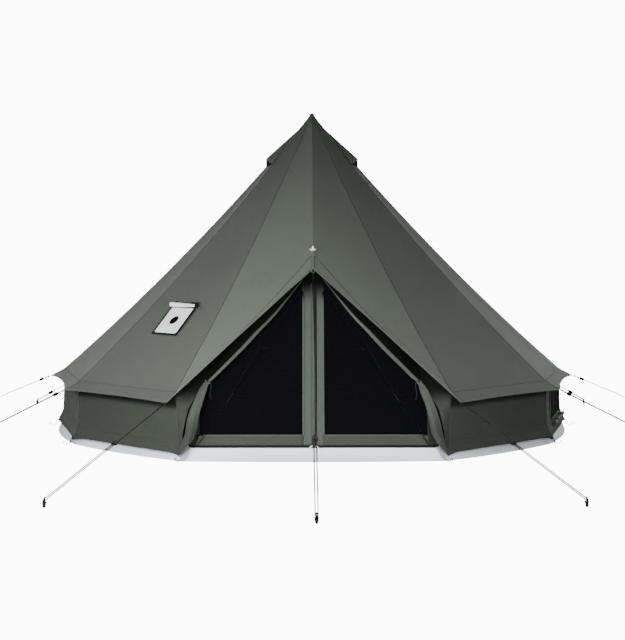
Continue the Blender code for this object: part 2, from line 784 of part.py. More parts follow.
def build_stove_jack():
    """A heat-proof panel with the flue's hole, and its rolled cover above it."""
    centre, side, up, out = jack_frame()
    middle = centre + out * (JACK_STAND_OFF + JACK_THICKNESS / 2)
    place = frame_matrix(middle, side, up, out)
    panel = add_box("stove_jack_panel", (JACK_WIDTH, JACK_LENGTH, JACK_THICKNESS), place, "jack_cloth")
    hole = add_cylinder("jack_hole_cutter", JACK_HOLE_RADIUS, 8 * JACK_THICKNESS, place, segments=32)
    boolean(panel, hole, "DIFFERENCE")
    cover_out = JACK_STAND_OFF + JACK_THICKNESS + GAP + COVER_RADIUS
    trim_out = JACK_STAND_OFF + TRIM_RADIUS
    reach = ROLL_SQUEEZE * (COVER_RADIUS + TRIM_RADIUS)
    step_up = sqrt(reach ** 2 - (cover_out - trim_out) ** 2)
    trim_rest = centre + up * (JACK_LENGTH / 2 + TRIM_RADIUS + GAP)
    rest = trim_rest - up * step_up + out * cover_out
    ends = [rest + side * COVER_LENGTH * share for share in (-0.5, 0.5)]
    cover = mesh_of_tube(add_tube("stove_jack_cover", ends, COVER_RADIUS, "jack_cloth"), "jack_cloth")
    trim_place = frame_matrix(trim_rest + out * trim_out, up, out, side)
    trim = add_cylinder("trim_core", TRIM_RADIUS, JACK_WIDTH, trim_place, segments=12)
    boolean(cover, trim, "UNION")


def build_vent(side, label):
    """A little awning over a side hip: sewn down along its upper edges, open along its lower ones."""
    middle = side * 90
    step = 360 / SIDES
    top = roof_point(middle, VENT_TOP_RADIUS)
    before, after = (roof_point(middle + turn, VENT_LIP_RADIUS) for turn in (-step, step))
    tip = roof_point(middle, VENT_TIP_RADIUS) + UP * VENT_LIFT
    normal = (before - top).cross(after - top).normalized()
    if normal.z < 0:
        normal.negate()
    lift = normal * VENT_STAND_OFF
    points = [top + lift, before + lift, tip, after + lift]
    add_sheet(f"vent_hood_{label}", points, [(0, 1, 2), (0, 2, 3)], VENT_CLOTH, "canvas")


def runner_outline():
    """A rounded bar with a channel for each strand, seen along the rope."""
    corner = RUNNER_THICKNESS / 4
    wide, tall = RUNNER_WIDTH / 2, RUNNER_THICKNESS / 2
    bar = [
        (wide, tall - corner), (wide - corner, tall), (corner - wide, tall), (-wide, tall - corner),
        (-wide, corner - tall), (corner - wide, -tall), (wide - corner, -tall), (wide, corner - tall),
    ]
    bore = ROPE_RADIUS + GAP
    channels = [
        [(middle + bore * cos(pi * k / 4), bore * sin(pi * k / 4)) for k in range(8)]
        for middle in (-STRAND_GAP / 2, STRAND_GAP / 2)
    ]
    return add_outline("guy_runner", [bar] + channels, RUNNER_LENGTH, "black_plastic")


def stake_outline():
    """The part of a stake above the ground, seen from the tent: blade, shoulders, neck and knob."""
    neck_low, neck_high = LOOP_HEIGHT - NECK_ROOM, LOOP_HEIGHT + NECK_ROOM
    half = [
        (STAKE_FOOT_HALF_WIDTH, 0),
        (STAKE_SHOULDER_HALF_WIDTH, neck_low - STAKE_THICKNESS),
        (STAKE_SHOULDER_HALF_WIDTH, neck_low),
        (STAKE_NECK_HALF_WIDTH, neck_low),
        (STAKE_NECK_HALF_WIDTH, neck_high),
        (STAKE_KNOB_HALF_WIDTH, neck_high + STAKE_THICKNESS / 2),
        (STAKE_NECK_HALF_WIDTH, STAKE_HEIGHT),
    ]
    ring = half + [(-x, z) for x, z in reversed(half)]
    return add_outline("guy_stake", [ring], STAKE_THICKNESS, "black_plastic")


def build_guy(label, anchor, stake_ground, runner_at, runner_data, stake_data):
    """One rope from the tent, through its runner, round its stake and back to the runner."""
    level = Vector((stake_ground.x - anchor.x, stake_ground.y - anchor.y, 0)).normalized()
    lean = radians(STAKE_LEAN)
    upright = UP * cos(lean) - level * sin(lean)
    face = level * cos(lean) + UP * sin(lean)
    foot = stake_ground + UP * STAKE_THICKNESS / 2 * sin(lean)
    stake_place = frame_matrix(foot, upright.cross(face), upright, face)
    add_copy(f"guy_stake_{label}", stake_data, stake_place)

    half = STRAND_GAP / 2
    loop = foot + upright * LOOP_HEIGHT
    across = UP.cross(level)
    run = (loop + across * half - anchor).normalized()
    across = UP.cross(run).normalized()
    runner = anchor + run * runner_at - across * half
    bend = [
        loop + (across * cos(pi * k / LOOP_STEPS) + run * sin(pi * k / LOOP_STEPS)) * half
        for k in range(LOOP_STEPS + 1)
    ]
    tail = runner - across * half - run * (RUNNER_LENGTH / 2 + ROPE_TAIL)
    add_tube(f"guy_rope_{label}", [anchor] + bend + [tail], ROPE_RADIUS, "rope")
    add_copy(f"guy_runner_{label}", runner_data, frame_matrix(runner, across, run.cross(across), run))


def add_copy(name, data, place):
    copy = bpy.data.objects.new(name, data)
    copy.matrix_world = place
    TENT.objects.link(copy)


def build_guys():
    """A guy line from each hip's tip, counted from the doors on each side, and one from the awning."""
    shared = runner_outline(), stake_outline()
    beyond = ROPE_RADIUS + CLEAR
    azimuths = hip_azimuths(DOOR_EAVE_ANGLE)
    for index, azimuth in enumerate(azimuths):
        count = min(index, len(azimuths) - 1 - index) + 1
        label = f"right_{count}" if azimuth < 180 else f"left_{count}"
        stake = polar(SIDE_STAKE_RADIUS, azimuth, 0)
        runner_at = SIDE_RUNNER_AT
        if azimuth == 180:
            label = "back"
        if count == 4:
            stake = polar(REAR_STAKE_RADIUS, azimuth, 0)
            runner_at = REAR_RUNNER_AT
        if count == 1:
            turn = DOOR_STAKE_ANGLE if azimuth < 180 else -DOOR_STAKE_ANGLE
            stake = polar(DOOR_STAKE_RADIUS, turn, 0)
            runner_at = DOOR_RUNNER_AT
        anchor = polar(TIP_RADIUS + beyond, azimuth, TIP_HEIGHT)
        build_guy(label, anchor, stake, runner_at, *shared)
    anchor = AWNING_POINT - UP * (CANVAS + beyond) + Vector((0, -beyond, 0))
    build_guy("front", anchor, polar(FRONT_STAKE_RADIUS, 0, 0), FRONT_RUNNER_AT, *shared)


clear_scene()
TENT = new_collection("Bell tent")
CUTTERS = new_collection("Cutters")
build_canopy()
build_wall()
build_window()
build_groundsheet()
build_centre_pole()
build_a_frame()
build_washer()
for tent_side, side_label in ((-1, "left"), (1, "right")):
    build_door_leaf(tent_side, side_label)
    build_door_side(tent_side, side_label)
    build_door_roll(tent_side, side_label)
    build_vent(tent_side, side_label)
build_zip_slider()
build_stove_jack()
build_guys()
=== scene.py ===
"""Canvas bell tent: cloth, seams, ropes, fittings, floor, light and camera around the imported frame.

Metres, +Z up, doors towards -Y. Azimuths are in degrees from the doors, positive towards +X.
Left and right are as seen by someone who looks at the doors.
"""

import json
from math import cos, exp, pi, radians, sin

import bpy
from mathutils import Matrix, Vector, noise


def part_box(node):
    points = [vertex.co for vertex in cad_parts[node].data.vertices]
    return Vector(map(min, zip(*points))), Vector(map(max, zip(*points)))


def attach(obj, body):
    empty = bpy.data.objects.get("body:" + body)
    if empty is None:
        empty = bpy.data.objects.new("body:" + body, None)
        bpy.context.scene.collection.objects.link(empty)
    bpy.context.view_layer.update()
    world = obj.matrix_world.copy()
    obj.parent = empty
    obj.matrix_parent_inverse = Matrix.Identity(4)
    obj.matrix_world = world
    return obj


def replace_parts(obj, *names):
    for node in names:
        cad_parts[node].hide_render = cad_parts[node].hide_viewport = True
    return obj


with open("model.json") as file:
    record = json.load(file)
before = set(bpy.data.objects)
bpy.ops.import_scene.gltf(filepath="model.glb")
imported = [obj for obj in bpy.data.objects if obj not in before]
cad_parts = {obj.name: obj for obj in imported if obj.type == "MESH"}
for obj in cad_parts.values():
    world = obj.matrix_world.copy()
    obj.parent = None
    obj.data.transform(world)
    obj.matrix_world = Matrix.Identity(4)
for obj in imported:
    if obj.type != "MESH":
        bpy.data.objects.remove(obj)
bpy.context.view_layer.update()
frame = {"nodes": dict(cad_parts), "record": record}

UP = Vector((0, 0, 1))
ACROSS = Vector((1, 0, 0))
BACK = Vector((0, 1, 0))
DOORS = ((-1, "left"), (1, "right"))

# Canopy, as in the CAD
SIDES = 12
EAVE_RADIUS = 1.956
EAVE_HEIGHT = 0.462
TIP_RADIUS = 2.07
TIP_HEIGHT = 0.401
PEAK_HEIGHT = 2.46
PEAK_RING = 0.005
ROOF_SAG = 0.075
DOOR_EAVE_ANGLE = 28.6
VALANCE_SCOOP = 0.038
AWNING_SCOOP = 0.015
FRONT_SCOOP = 0.012

# Wall and groundsheet, as in the CAD
BASE_RADIUS = 2.0
DOOR_BASE_ANGLE = 26.5
WALL_HEM_HEIGHT = 0.05
WALL_FLARE = 0.012
FLARE_HEIGHT = 0.14
BAND_HEIGHT = 0.10
BAND_LEAN = 0.045
WALL_TOP = 0.456

# Front ridge and doors, as in the CAD
PIN_POINT = Vector((0, -1.12, 1.401))
AWNING_REACH = 0.173
DOOR_BOTTOM_HEIGHT = 0.102
DOOR_BOTTOM_Y = 0.002 - (BASE_RADIUS - BAND_LEAN) * cos(radians(DOOR_BASE_ANGLE))
DOOR_SLOPE = 0.470834
LEAF_TOP_HEIGHT = 1.21
LEAF_HALF_WIDTH = 0.79
CREASE_RADIUS = 1.66
DOOR_UP = Vector((0, DOOR_SLOPE, 1)).normalized()
DOOR_OUT = Vector((0, -1, DOOR_SLOPE)).normalized()

# A rolled canvas door: across, height, out of the door's plane, half its width
ROLL_ROUTE = (
    (0.070, 1.200, 0.030, 0.003), (0.179, 1.067, 0.036, 0.009), (0.289, 0.937, 0.045, 0.014),
    (0.398, 0.828, 0.050, 0.018), (0.498, 0.722, 0.050, 0.019), (0.614, 0.608, 0.050, 0.018),
    (0.684, 0.540, 0.047, 0.017), (0.726, 0.499, 0.047, 0.015), (0.758, 0.435, 0.055, 0.027),
    (0.802, 0.319, 0.065, 0.034), (0.822, 0.227, 0.075, 0.037), (0.833, 0.159, 0.082, 0.036),
    (0.855, 0.100, 0.087, 0.030),
)

# Guy lines, as in the CAD. Each stake is (distance from the pole, runner's distance from the tent).
STRAND_GAP = 0.016
ROPE_TAIL = 0.014
RUNNER_LENGTH = 0.044
STAKE_LEAN = radians(7.5)
STAKE_THICKNESS = 0.006
LOOP_HEIGHT = 0.045
SIDE_STAKE = (2.93, 0.07)
REAR_STAKE = (2.80, 0.636)
DOOR_STAKE = (3.76, 0.79)
FRONT_STAKE = (3.90, 2.17)
DOOR_STAKE_ANGLE = 24.1


# Geometry

def polar(radius, azimuth, height):
    angle = radians(azimuth)
    return Vector((radius * sin(angle), -radius * cos(angle), height))


def level(vector):
    return Vector((vector.x, vector.y, 0)).normalized()


def roof_point(azimuth, radius):
    share = radius / EAVE_RADIUS
    sag = 4 * ROOF_SAG * share * (1 - share)
    return polar(radius, azimuth, PEAK_HEIGHT + (EAVE_HEIGHT - PEAK_HEIGHT) * share - sag)


def hip_azimuths(door_angle):
    step = 360 / SIDES
    return [door_angle] + [step * k for k in range(2, SIDES - 1)] + [360 - door_angle]


RIDGE_TOP = roof_point(0, PEAK_RING)
AWNING_POINT = PIN_POINT + (PIN_POINT - RIDGE_TOP).normalized() * AWNING_REACH
EAVE_HIPS = hip_azimuths(DOOR_EAVE_ANGLE)
BASE_HIPS = hip_azimuths(DOOR_BASE_ANGLE)


def door_point(across, height, out=0.0):
    y = DOOR_BOTTOM_Y + DOOR_SLOPE * (height - DOOR_BOTTOM_HEIGHT)
    return Vector((across, y, height)) + DOOR_OUT * out


def spread(start, end, count):
    """Numbers or points in count even steps from start to end, with both."""
    return [start + (end - start) * k / count for k in range(count + 1)]


def circle(middle, a, b, radius, count):
    """Points round the middle, from a towards b. radius is one number or depends on the angle."""
    found = []
    for k in range(count):
        angle = 2 * pi * k / count
        reach = radius(angle) if callable(radius) else radius
        found.append(middle + (a * cos(angle) + b * sin(angle)) * reach)
    return found


def smooth_route(points, steps):
    """Points on a smooth curve through the given ones, each a tuple of any length."""
    found = []
    for index in range(len(points) - 1):
        a, b, c = points[max(index - 1, 0)], points[index], points[index + 1]
        d = points[min(index + 2, len(points) - 1)]
        for step in range(steps):
            t = step / steps
            weights = (
                (2 * t * t - t - t ** 3) / 2, (2 - 5 * t * t + 3 * t ** 3) / 2,
                (t + 4 * t * t - 3 * t ** 3) / 2, (t ** 3 - t * t) / 2,
            )
            found.append(tuple(
                sum(weight * value for weight, value in zip(weights, values))
                for values in zip(a, b, c, d)
            ))
    found.append(tuple(points[-1]))
    return found


def smooth_path(points, steps):
    return [Vector(spot) for spot in smooth_route([tuple(point) for point in points], steps)]


def ease(value, low, high):
    """0 below low, 1 above high, smooth between."""
    t = min(max((value - low) / (high - low), 0), 1)
    return t * t * (3 - 2 * t)


def bell(value, middle, width):
    return exp(-((value - middle) / width) ** 2)


def ripple(point, scale, seed=0.0):
    """Smooth noise from about -1 to 1."""
    return noise.noise(Vector(point) * scale + Vector((seed, seed * 1.7, seed * 0.3)))


# Materials

WEAVE_SCALE = 0.1 * pi
SHEEN_ROUGHNESS = 0.4
SLUB_DEPTH = 0.0006
BRAID_DEPTH = 0.0004


def srgb(r, g, b):
    return tuple(((c / 255 + 0.055) / 1.055) ** 2.4 if c > 10 else c / 3295 for c in (r, g, b))


def shade(colour, factor):
    return tuple(min(c * factor, 1) for c in colour) + (1,)


def grey(value):
    return (value, value, value, 1)


def add_node(tree, kind, inputs, **settings):
    """A new node's outputs. Each input is given a value, or is linked to another node's output."""
    made = tree.nodes.new("ShaderNode" + kind)
    for key, value in settings.items():
        setattr(made, key, value)
    for key, value in inputs.items():
        if isinstance(value, bpy.types.NodeSocket):
            tree.links.new(value, made.inputs[key])
        else:
            made.inputs[key].default_value = value
    return made.outputs


def new_material(name, roughness, metallic=0.0, sheen=0.0, alpha=1.0, specular=0.5):
    """The material, its node tree and its texture coordinates."""
    made = bpy.data.materials.new(name)
    made.use_nodes = True
    shader = made.node_tree.nodes["Principled BSDF"].inputs
    shader["Roughness"].default_value = roughness
    shader["Metallic"].default_value = metallic
    shader["Sheen Weight"].default_value = sheen
    shader["Sheen Roughness"].default_value = SHEEN_ROUGHNESS
    shader["Specular IOR Level"].default_value = specular
    shader["Alpha"].default_value = alpha
    return made, made.node_tree, add_node(made.node_tree, "TexCoord", {})


def speckle(tree, place, scale, detail):
    inputs = {"Scale": scale, "Detail": detail, "Vector": place["Object"]}
    return add_node(tree, "TexNoise", inputs)["Fac"]


def bands(tree, place, scale, direction):
    return add_node(tree, "TexWave", {"Scale": scale, "Vector": place["UV"]}, bands_direction=direction)


def ramp(tree, source, low, high, start=0.3, end=0.7):
    node = tree.nodes.new("ShaderNodeValToRGB")
    for stop, position, colour in zip(node.color_ramp.elements, (start, end), (low, high)):
        stop.position = position
        stop.color = colour
    tree.links.new(source, node.inputs["Fac"])
    return node.outputs["Color"]


def mix(tree, first, second, amount=1.0, blend="MULTIPLY"):
    inputs = {"Factor": amount, "A": first, "B": second}
    return add_node(tree, "Mix", inputs, data_type="RGBA", blend_type=blend)["Result"]


def finished(made, base, heights, strength):
    """The material with its colour and relief. heights is [(source, distance)], coarsest first."""
    tree = made.node_tree
    shader = tree.nodes["Principled BSDF"].inputs
    tree.links.new(base, shader["Base Color"])
    below = {}
    for source, distance in heights:
        inputs = {"Strength": strength, "Distance": distance, "Height": source}
        below = {"Normal": add_node(tree, "Bump", inputs | below)["Normal"]}
    tree.links.new(below["Normal"], shader["Normal"])
    return made


def woven(name, colour, thread, roughness, sheen=0.0, alpha=1.0, mottle=0.10, specular=0.5, fades=()):
    """Cloth whose threads, this far apart, run along its UVs, which are in metres.

    Each painted shade is (height, height, share): painted shade darkens the cloth from the first height to the
    second, down to share of its colour.
    """
    made, tree, place = new_material(name, roughness, 0.0, sheen, alpha, specular)
    warp, weft = (bands(tree, place, WEAVE_SCALE / thread, axis)["Color"] for axis in ("X", "Y"))
    weave = mix(tree, warp, weft)
    wide, slub = speckle(tree, place, 1.7, 3), speckle(tree, place, 55, 4)
    base = ramp(tree, wide, shade(colour, 1 - mottle / 2), shade(colour, 1 + mottle / 2))
    base = mix(tree, base, ramp(tree, slub, grey(0.93), grey(1)))
    base = mix(tree, base, ramp(tree, weave, grey(0.90), grey(1), 0.0, 1.0))
    # Painted shade: the cloth darkens with height where the piece stands in shade.
    for start, end, share in fades:
        height = add_node(tree, "SeparateXYZ", {"Vector": place["Object"]})["Z"]
        inputs = {"From Min": start, "From Max": end, "Value": height}
        reach = add_node(tree, "MapRange", inputs, interpolation_type="SMOOTHSTEP")["Result"]
        base = mix(tree, base, ramp(tree, reach, grey(1), grey(share), 0.0, 1.0))
    return finished(made, base, [(slub, SLUB_DEPTH), (weave, thread / 4)], 0.5)


def moulded(name, colour, roughness, metallic=0.0, grain=600, depth=0.0001, specular=0.5):
    """Plastic or metal with a fine grain, faint scuffs and slightly uneven colour."""
    made, tree, place = new_material(name, roughness, metallic, specular=specular)
    fine, scuff = speckle(tree, place, grain, 2), speckle(tree, place, 60, 6)
    base = ramp(tree, scuff, shade(colour, 0.85), shade(colour, 1.15))
    return finished(made, base, [(fine, depth)], 0.4)


def braided(name, dark, light, pitch):
    """Rope whose strands cross along its UVs, with a light tracer."""
    made, tree, place = new_material(name, 0.8, specular=0.2)
    strands = bands(tree, place, WEAVE_SCALE / pitch, "DIAGONAL")["Fac"]
    tracer = bands(tree, place, WEAVE_SCALE / 5 / pitch, "Y")["Fac"]
    ground = ramp(tree, strands, shade(dark, 0.6), shade(dark, 1.2))
    fleck = ramp(tree, tracer, grey(0), shade(light, 1), 0.8, 0.95)
    base = mix(tree, mix(tree, ground, fleck, 0.35, "SCREEN"), ground, 0.6)
    return finished(made, base, [(strands, BRAID_DEPTH)], 0.6)


CANVAS_COLOUR = (0.0625, 0.0760, 0.0605)
# Painted shade: the doors' canvas goes nearly black at their top, under the awning.
DOOR_PAINTED_SHADE = ((1.02, 1.19, 0.01),)
TAPE = 0.0010


def canvas(name, share, roughness=0.70, thread=0.0012, **rest):
    """The tent's canvas with its colour scaled by share: each piece is a lighter or darker copy of one cloth,
    painted light and shade for how that piece is lit.
    """
    return woven(name, tuple(c * share for c in CANVAS_COLOUR), thread, roughness, **rest)


FINISHES = {
    # Roof canvas, darker towards the peak: painted shade.
    "canvas": canvas("canvas cloth", 1.03, sheen=0.08, specular=0.35, fades=((1.55, 2.45, 0.70),)),
    # The front panels: a lighter copy of the canvas, painted light, and darker towards the peak as painted shade.
    "front_canvas": canvas("front canvas", 1.50, sheen=0.08, specular=0.35, fades=((1.45, 2.45, 0.68),)),
    # Wall: a darker copy of the canvas, darker still just under the valance: painted shade.
    "wall_canvas": canvas("wall canvas", 0.60, 0.72, sheen=0.03, specular=0.12,
                          fades=((0.335, 0.378, 0.12),)),
    # Door rolls: a darker copy, darker towards the awning's point and towards the ground: painted shade.
    "roll_canvas": canvas("roll canvas", 0.84, sheen=0.06, specular=0.3,
                          fades=((0.92, 1.19, 0.30), (0.34, 0.20, 0.50))),
    # The tucked foot beside the doors: darkened to 0.30 as painted shade.
    "foot_canvas": canvas("foot canvas", 0.30, 0.78, specular=0.05),
    # Curtains' return to the wall: a darker copy, darker still under the valance's tip: painted shade.
    "side_canvas": canvas("side canvas", 0.54, 0.78, specular=0.05, fades=((0.37, 0.48, 0.12),)),
    # Door borders: painted shade at their top. Their edge tape is a lighter copy: painted highlight.
    "door_canvas": canvas("door canvas", 1.00, 0.72, specular=0.06, fades=DOOR_PAINTED_SHADE),
    "door_binding": canvas("door edge tape", 1.25, 0.72, TAPE, specular=0.06, fades=DOOR_PAINTED_SHADE),
    # Door sills: a darker copy of the canvas, painted shade.
    "sill_canvas": canvas("sill canvas", 0.51, 0.72, specular=0.25),
    # Curtain folds under the awning and the tuck beside the rolls: canvas made nearly black, painted shadow.
    "painted_shadow_cloth": canvas("curtain lining", 0.045, 0.85, specular=0.02),
    # Seams and stitching: darker copies of the canvas, painted shade of their grooves.
    "seam": canvas("seam tape", 0.58, 0.72, TAPE, specular=0.2),
    "stitch": canvas("stitching", 0.55, 0.75, TAPE, specular=0.3),
    "hem": canvas("hem tape", 0.88, 0.70, TAPE, sheen=0.05, specular=0.3),
    # Bound edges: a lighter copy of the canvas, painted highlight.
    "binding": canvas("door binding", 1.25, 0.65, TAPE, sheen=0.08),
    "webbing": woven("grey webbing", srgb(128, 132, 126), 0.0018, 0.60, sheen=0.10),
    "black_webbing": woven("black webbing", srgb(20, 21, 21), 0.0018, 0.70, specular=0.08),
    "groundsheet": woven("groundsheet cloth", srgb(235, 242, 252), 0.0025, 0.50, mottle=0.06),
    "clear_strap": woven("pale strap", srgb(170, 173, 181), 0.0015, 0.50, alpha=0.85),
    "mesh": woven("insect mesh", srgb(4, 4, 7), 0.0016, 0.90, alpha=0.985, specular=0.06),
    "vent_mesh": woven("vent mesh", srgb(8, 8, 9), 0.0016, 0.85, specular=0.1),
    "jack_cloth": woven("heat-proof cloth", srgb(248, 248, 250), 0.0009, 0.60, mottle=0.02),
    "black_cloth": woven("black border cloth", srgb(16, 17, 17), 0.0012, 0.70, specular=0.08),
    "black_plastic": moulded("black plastic", srgb(16, 17, 18), 0.55, specular=0.2),
    "white_plastic": moulded("white plastic", srgb(248, 248, 247), 0.35),
    "steel": moulded("galvanised steel", srgb(190, 193, 198), 0.32, metallic=1.0, grain=90, depth=0.0002),
    "peg_steel": moulded("peg wire", srgb(84, 87, 92), 0.45, metallic=0.6, grain=400),
    "rope": braided("guy rope", srgb(30, 31, 30), srgb(84, 86, 84), 0.004),
}
SLOTS = dict.fromkeys(FINISHES, "canvas") | {
    "black_webbing": "rope", "groundsheet": "groundsheet", "clear_strap": "groundsheet",
    "mesh": "mesh", "vent_mesh": "mesh", "jack_cloth": "jack_cloth", "black_plastic": "black_plastic",
    "white_plastic": "white_plastic", "steel": "steel", "peg_steel": "steel", "rope": "rope",
}


# Pieces

CLOTH = 0.0012
THIN_CLOTH = 0.0008
DOUBLE_CLOTH = 0.0016
RIBBON_SINK = 0.0006
RIBBON_EDGE = 0.0008


def add_piece(name, verts, faces, uvs, finish, body, sharp=(), solid=0.0):
    """uvs holds one (u, v) for each face corner, in metres. sharp holds pairs of vertex numbers."""
    data = bpy.data.meshes.new(name)
    data.from_pydata(verts, [], faces)
    layer = data.uv_layers.new(name="UVMap")
    for loop, uv in zip(layer.data, uvs):
        loop.uv = uv
    data.materials.append(FINISHES[finish])
    data.shade_smooth()
    if sharp:
        keys = {tuple(sorted(edge.vertices)): edge.index for edge in data.edges}
        marks = data.attributes.new("sharp_edge", "BOOLEAN", "EDGE")
        for pair in sharp:
            marks.data[keys[pair]].value = True
    data.update()
    piece = bpy.data.objects.new(name, data)
    bpy.context.scene.collection.objects.link(piece)
    if solid:
        shell = piece.modifiers.new("Thickness", "SOLIDIFY")
        shell.thickness = solid
        shell.offset = -1.0
    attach(piece, body)
    return piece


def cloth(name, columns, finish, closed=False, body="tent", creases=(), solid=CLOTH):
    """A sheet through columns of points from top to bottom, running left to right as seen from outside."""
    tall, count = len(columns[0]), len(columns)
    verts = [point for column in columns for point in column]
    faces, uvs, across = [], [], 0.0
    middle = tall // 2
    for index in range(count if closed else count - 1):
        after = (index + 1) % count
        next_across = across + (columns[after][middle] - columns[index][middle]).length
        down = 0.0
        for row in range(tall - 1):
            next_down = down + (columns[index][row + 1] - columns[index][row]).length
            a, b = index * tall + row, after * tall + row
            faces.append((a, a + 1, b + 1, b))
            uvs += [(across, down), (across, next_down), (next_across, next_down), (next_across, down)]
            down = next_down
        across = next_across
    starts = [column * tall + row for column in creases for row in range(tall - 1)]
    return add_piece(name, verts, faces, uvs, finish, body, [(k, k + 1) for k in starts], solid)


def loft(name, rings, finish, body="tent", closed=False):
    """A closed skin over rings of points, each anticlockwise seen from the way that the rings run."""
    size, last = len(rings[0]), len(rings) - 1
    verts = [point for ring in rings for point in ring]
    faces, uvs, along = [], [], 0.0
    for k in range(last + 1 if closed else last):
        following = (k + 1) % len(rings)
        end = along + (rings[following][0] - rings[k][0]).length
        across = 0.0
        for j in range(size):
            after = (j + 1) % size
            edge = across + (rings[k][after] - rings[k][j]).length
            a, b = k * size, following * size
            faces.append((a + j, a + after, b + after, b + j))
            uvs += [(across, along), (edge, along), (edge, end), (across, end)]
            across = edge
        along = end
    if not closed:
        for cap in (range(size)[::-1], range(last * size, len(verts))):
            faces.append(tuple(cap))
            uvs += [(verts[k].x + verts[k].y, verts[k].z) for k in cap]
    return add_piece(name, verts, faces, uvs, finish, body)


def run_at(path, index):
    before, after = path[max(index - 1, 0)], path[min(index + 1, len(path) - 1)]
    return (after - before).normalized()


def ribbon(name, path, normals, width, thick, finish, body="tent"):
    """A flat strip along the path: widths and normals are one for all points or one each."""
    rings = []
    for index, point in enumerate(path):
        run = run_at(path, index)
        normal = normals[index] if isinstance(normals, list) else normals
        side = run.cross(normal).normalized()
        up = side.cross(run).normalized()
        half = (width[index] if isinstance(width, list) else width) / 2
        bevel = min(RIBBON_EDGE, half / 2)
        outline = (
            (-half, -RIBBON_SINK), (half, -RIBBON_SINK), (half, thick - bevel), (half - bevel, thick),
            (bevel - half, thick), (-half, thick - bevel),
        )
        rings.append([point + side * x + up * z for x, z in outline])
    return loft(name, rings, finish, body)


def tube(name, path, radius, finish, body="tent", sides=10, closed=False):
    """A round bar along the path."""
    rings = []
    reference = None
    for index, point in enumerate(path):
        if closed:
            run = (path[(index + 1) % len(path)] - path[index - 1]).normalized()
        else:
            run = run_at(path, index)
        if reference is None:
            reference = UP if abs(run.z) < 0.9 else ACROSS
        side = run.cross(reference).normalized()
        reference = side.cross(run).normalized()
        rings.append(circle(point, side, reference, radius, sides))
    return loft(name, rings, finish, body, closed)


def joined(name, parts):
    """Several pieces of one body made one object. The first one's finish and body stay."""
    bpy.context.view_layer.update()
    first = parts[0]
    with bpy.context.temp_override(active_object=first, selected_editable_objects=parts, object=first):
        bpy.ops.object.join()
    first.name = name
    first.data.name = name
    return first


def box_between(name, start, end, width, depth, up, finish, body="tent", taper=1.0):
    """A bar of rectangular section with softened edges from start to end."""
    run = (end - start).normalized()
    side = run.cross(up).normalized()
    top = side.cross(run).normalized()
    rings = []
    for share, scale in ((0, 0.8), (0.06, 1), (0.94, taper), (1, 0.8 * taper)):
        w, d = width / 2 * scale, depth / 2 * scale
        c = min(w, d) * 0.35
        outline = (
            (w, c - d), (w, d - c), (w - c, d), (c - w, d), (-w, d - c), (-w, c - d), (c - w, -d), (w - c, -d)
        )
        rings.append([start.lerp(end, share) + side * x + top * z for x, z in outline])
    return loft(name, rings, finish, body)


def border(name, axes, halves, over, width, thick, finish):
    """Four strips round a rectangle. Each runs this far over the middles of the ones that it meets."""
    centre, side, up, out = axes
    parts = []
    for a, b, half, reach in ((side, up, *halves), (up, side, *halves[::-1])):
        for sign in (-1, 1):
            middle, end = centre + a * sign * half, b * (reach + over)
            parts.append(ribbon(name, [middle - end, middle, middle + end], out, width, thick, finish))
    return joined(name, parts)


def rolled_up(name, middle, side, width, up, out, steps, finish, reach):
    """A roll of cloth. reach(share of its width, angle) is its radius."""
    rings = []
    for share in spread(0, 1, steps):
        spot = middle + side * (share - 0.5) * width
        rings.append(circle(spot, up, out, lambda angle: reach(share, angle), 20))
    return loft(name, rings, finish)


def pinched(share, first, second, depth):
    """How much of a roll's radius its two straps leave."""
    return 1 - depth * bell(share, first, 0.02) - depth * bell(share, second, 0.02)


def cut_with_box(piece, name, axes, halves):
    """Cuts the piece with a box, which stays hidden."""
    centre, side, up, out = axes
    signs = (-1, 1)
    corners = [
        centre + side * x * halves[0] + up * y * halves[1] + out * z * halves[2]
        for x in signs for y in signs for z in signs
    ]
    faces = [(0, 1, 3, 2), (4, 6, 7, 5), (0, 4, 5, 1), (2, 3, 7, 6), (0, 2, 6, 4), (1, 5, 7, 3)]
    data = bpy.data.meshes.new(name)
    data.from_pydata(corners, [], faces)
    cutter = bpy.data.objects.new(name, data)
    bpy.context.scene.collection.objects.link(cutter)
    cutter.hide_render = True
    cutter.display_type = "WIRE"
    cut = piece.modifiers.new("Opening", "BOOLEAN")
    cut.operation = "DIFFERENCE"
    cut.object = cutter


# Canopy

ROOF_STEPS = 44
VALANCE_STEPS = 6
PANEL_STEPS = 16
PANEL_SAG = 0.006
FRONT_PANELS = (0, SIDES - 1)
CROWN_ROW = 0.0086
CROWN_RADIUS = 0.022
CROWN_HEIGHT = 2.464
CAP_HEIGHT = 2.380
CAP_ROW = 0.0348
CAP_STEPS = 6
SEAM_THICKNESS = 0.0008
FRONT_HEM_START = 1.05
FRONT_HEM_END = 1.87
FRONT_HEM_REACH = 0.575


def profile_point(index, row):
    """Index 0 or 12 is the ridge, 1 to 11 the hips. row is 0 at the peak, 1 at the eave or pin, 2 at the tip."""
    roof, valance = min(row, 1), max(row - 1, 0)
    if index % SIDES == 0:
        end, tip = PIN_POINT, AWNING_POINT
        start = RIDGE_TOP.lerp(PIN_POINT, roof)
    else:
        azimuth = EAVE_HIPS[index - 1]
        end, tip = roof_point(azimuth, EAVE_RADIUS), polar(TIP_RADIUS, azimuth, TIP_HEIGHT)
        start = roof_point(azimuth, max(EAVE_RADIUS * roof, PEAK_RING))
    return end.lerp(tip, valance) if valance else start


def straight_point(panel, s, row):
    return profile_point(panel, row).lerp(profile_point(panel + 1, row), s)


def rays(gap, away, size, count, shift, least, near, reach):
    """Folds that fan out from a point where the cloth is held, this far from it."""
    turn = min(away / max(gap, least), 1)
    return size * sin(count * turn * pi / 2 + shift) * ease(gap, near, 0.10) * exp(-gap / reach)


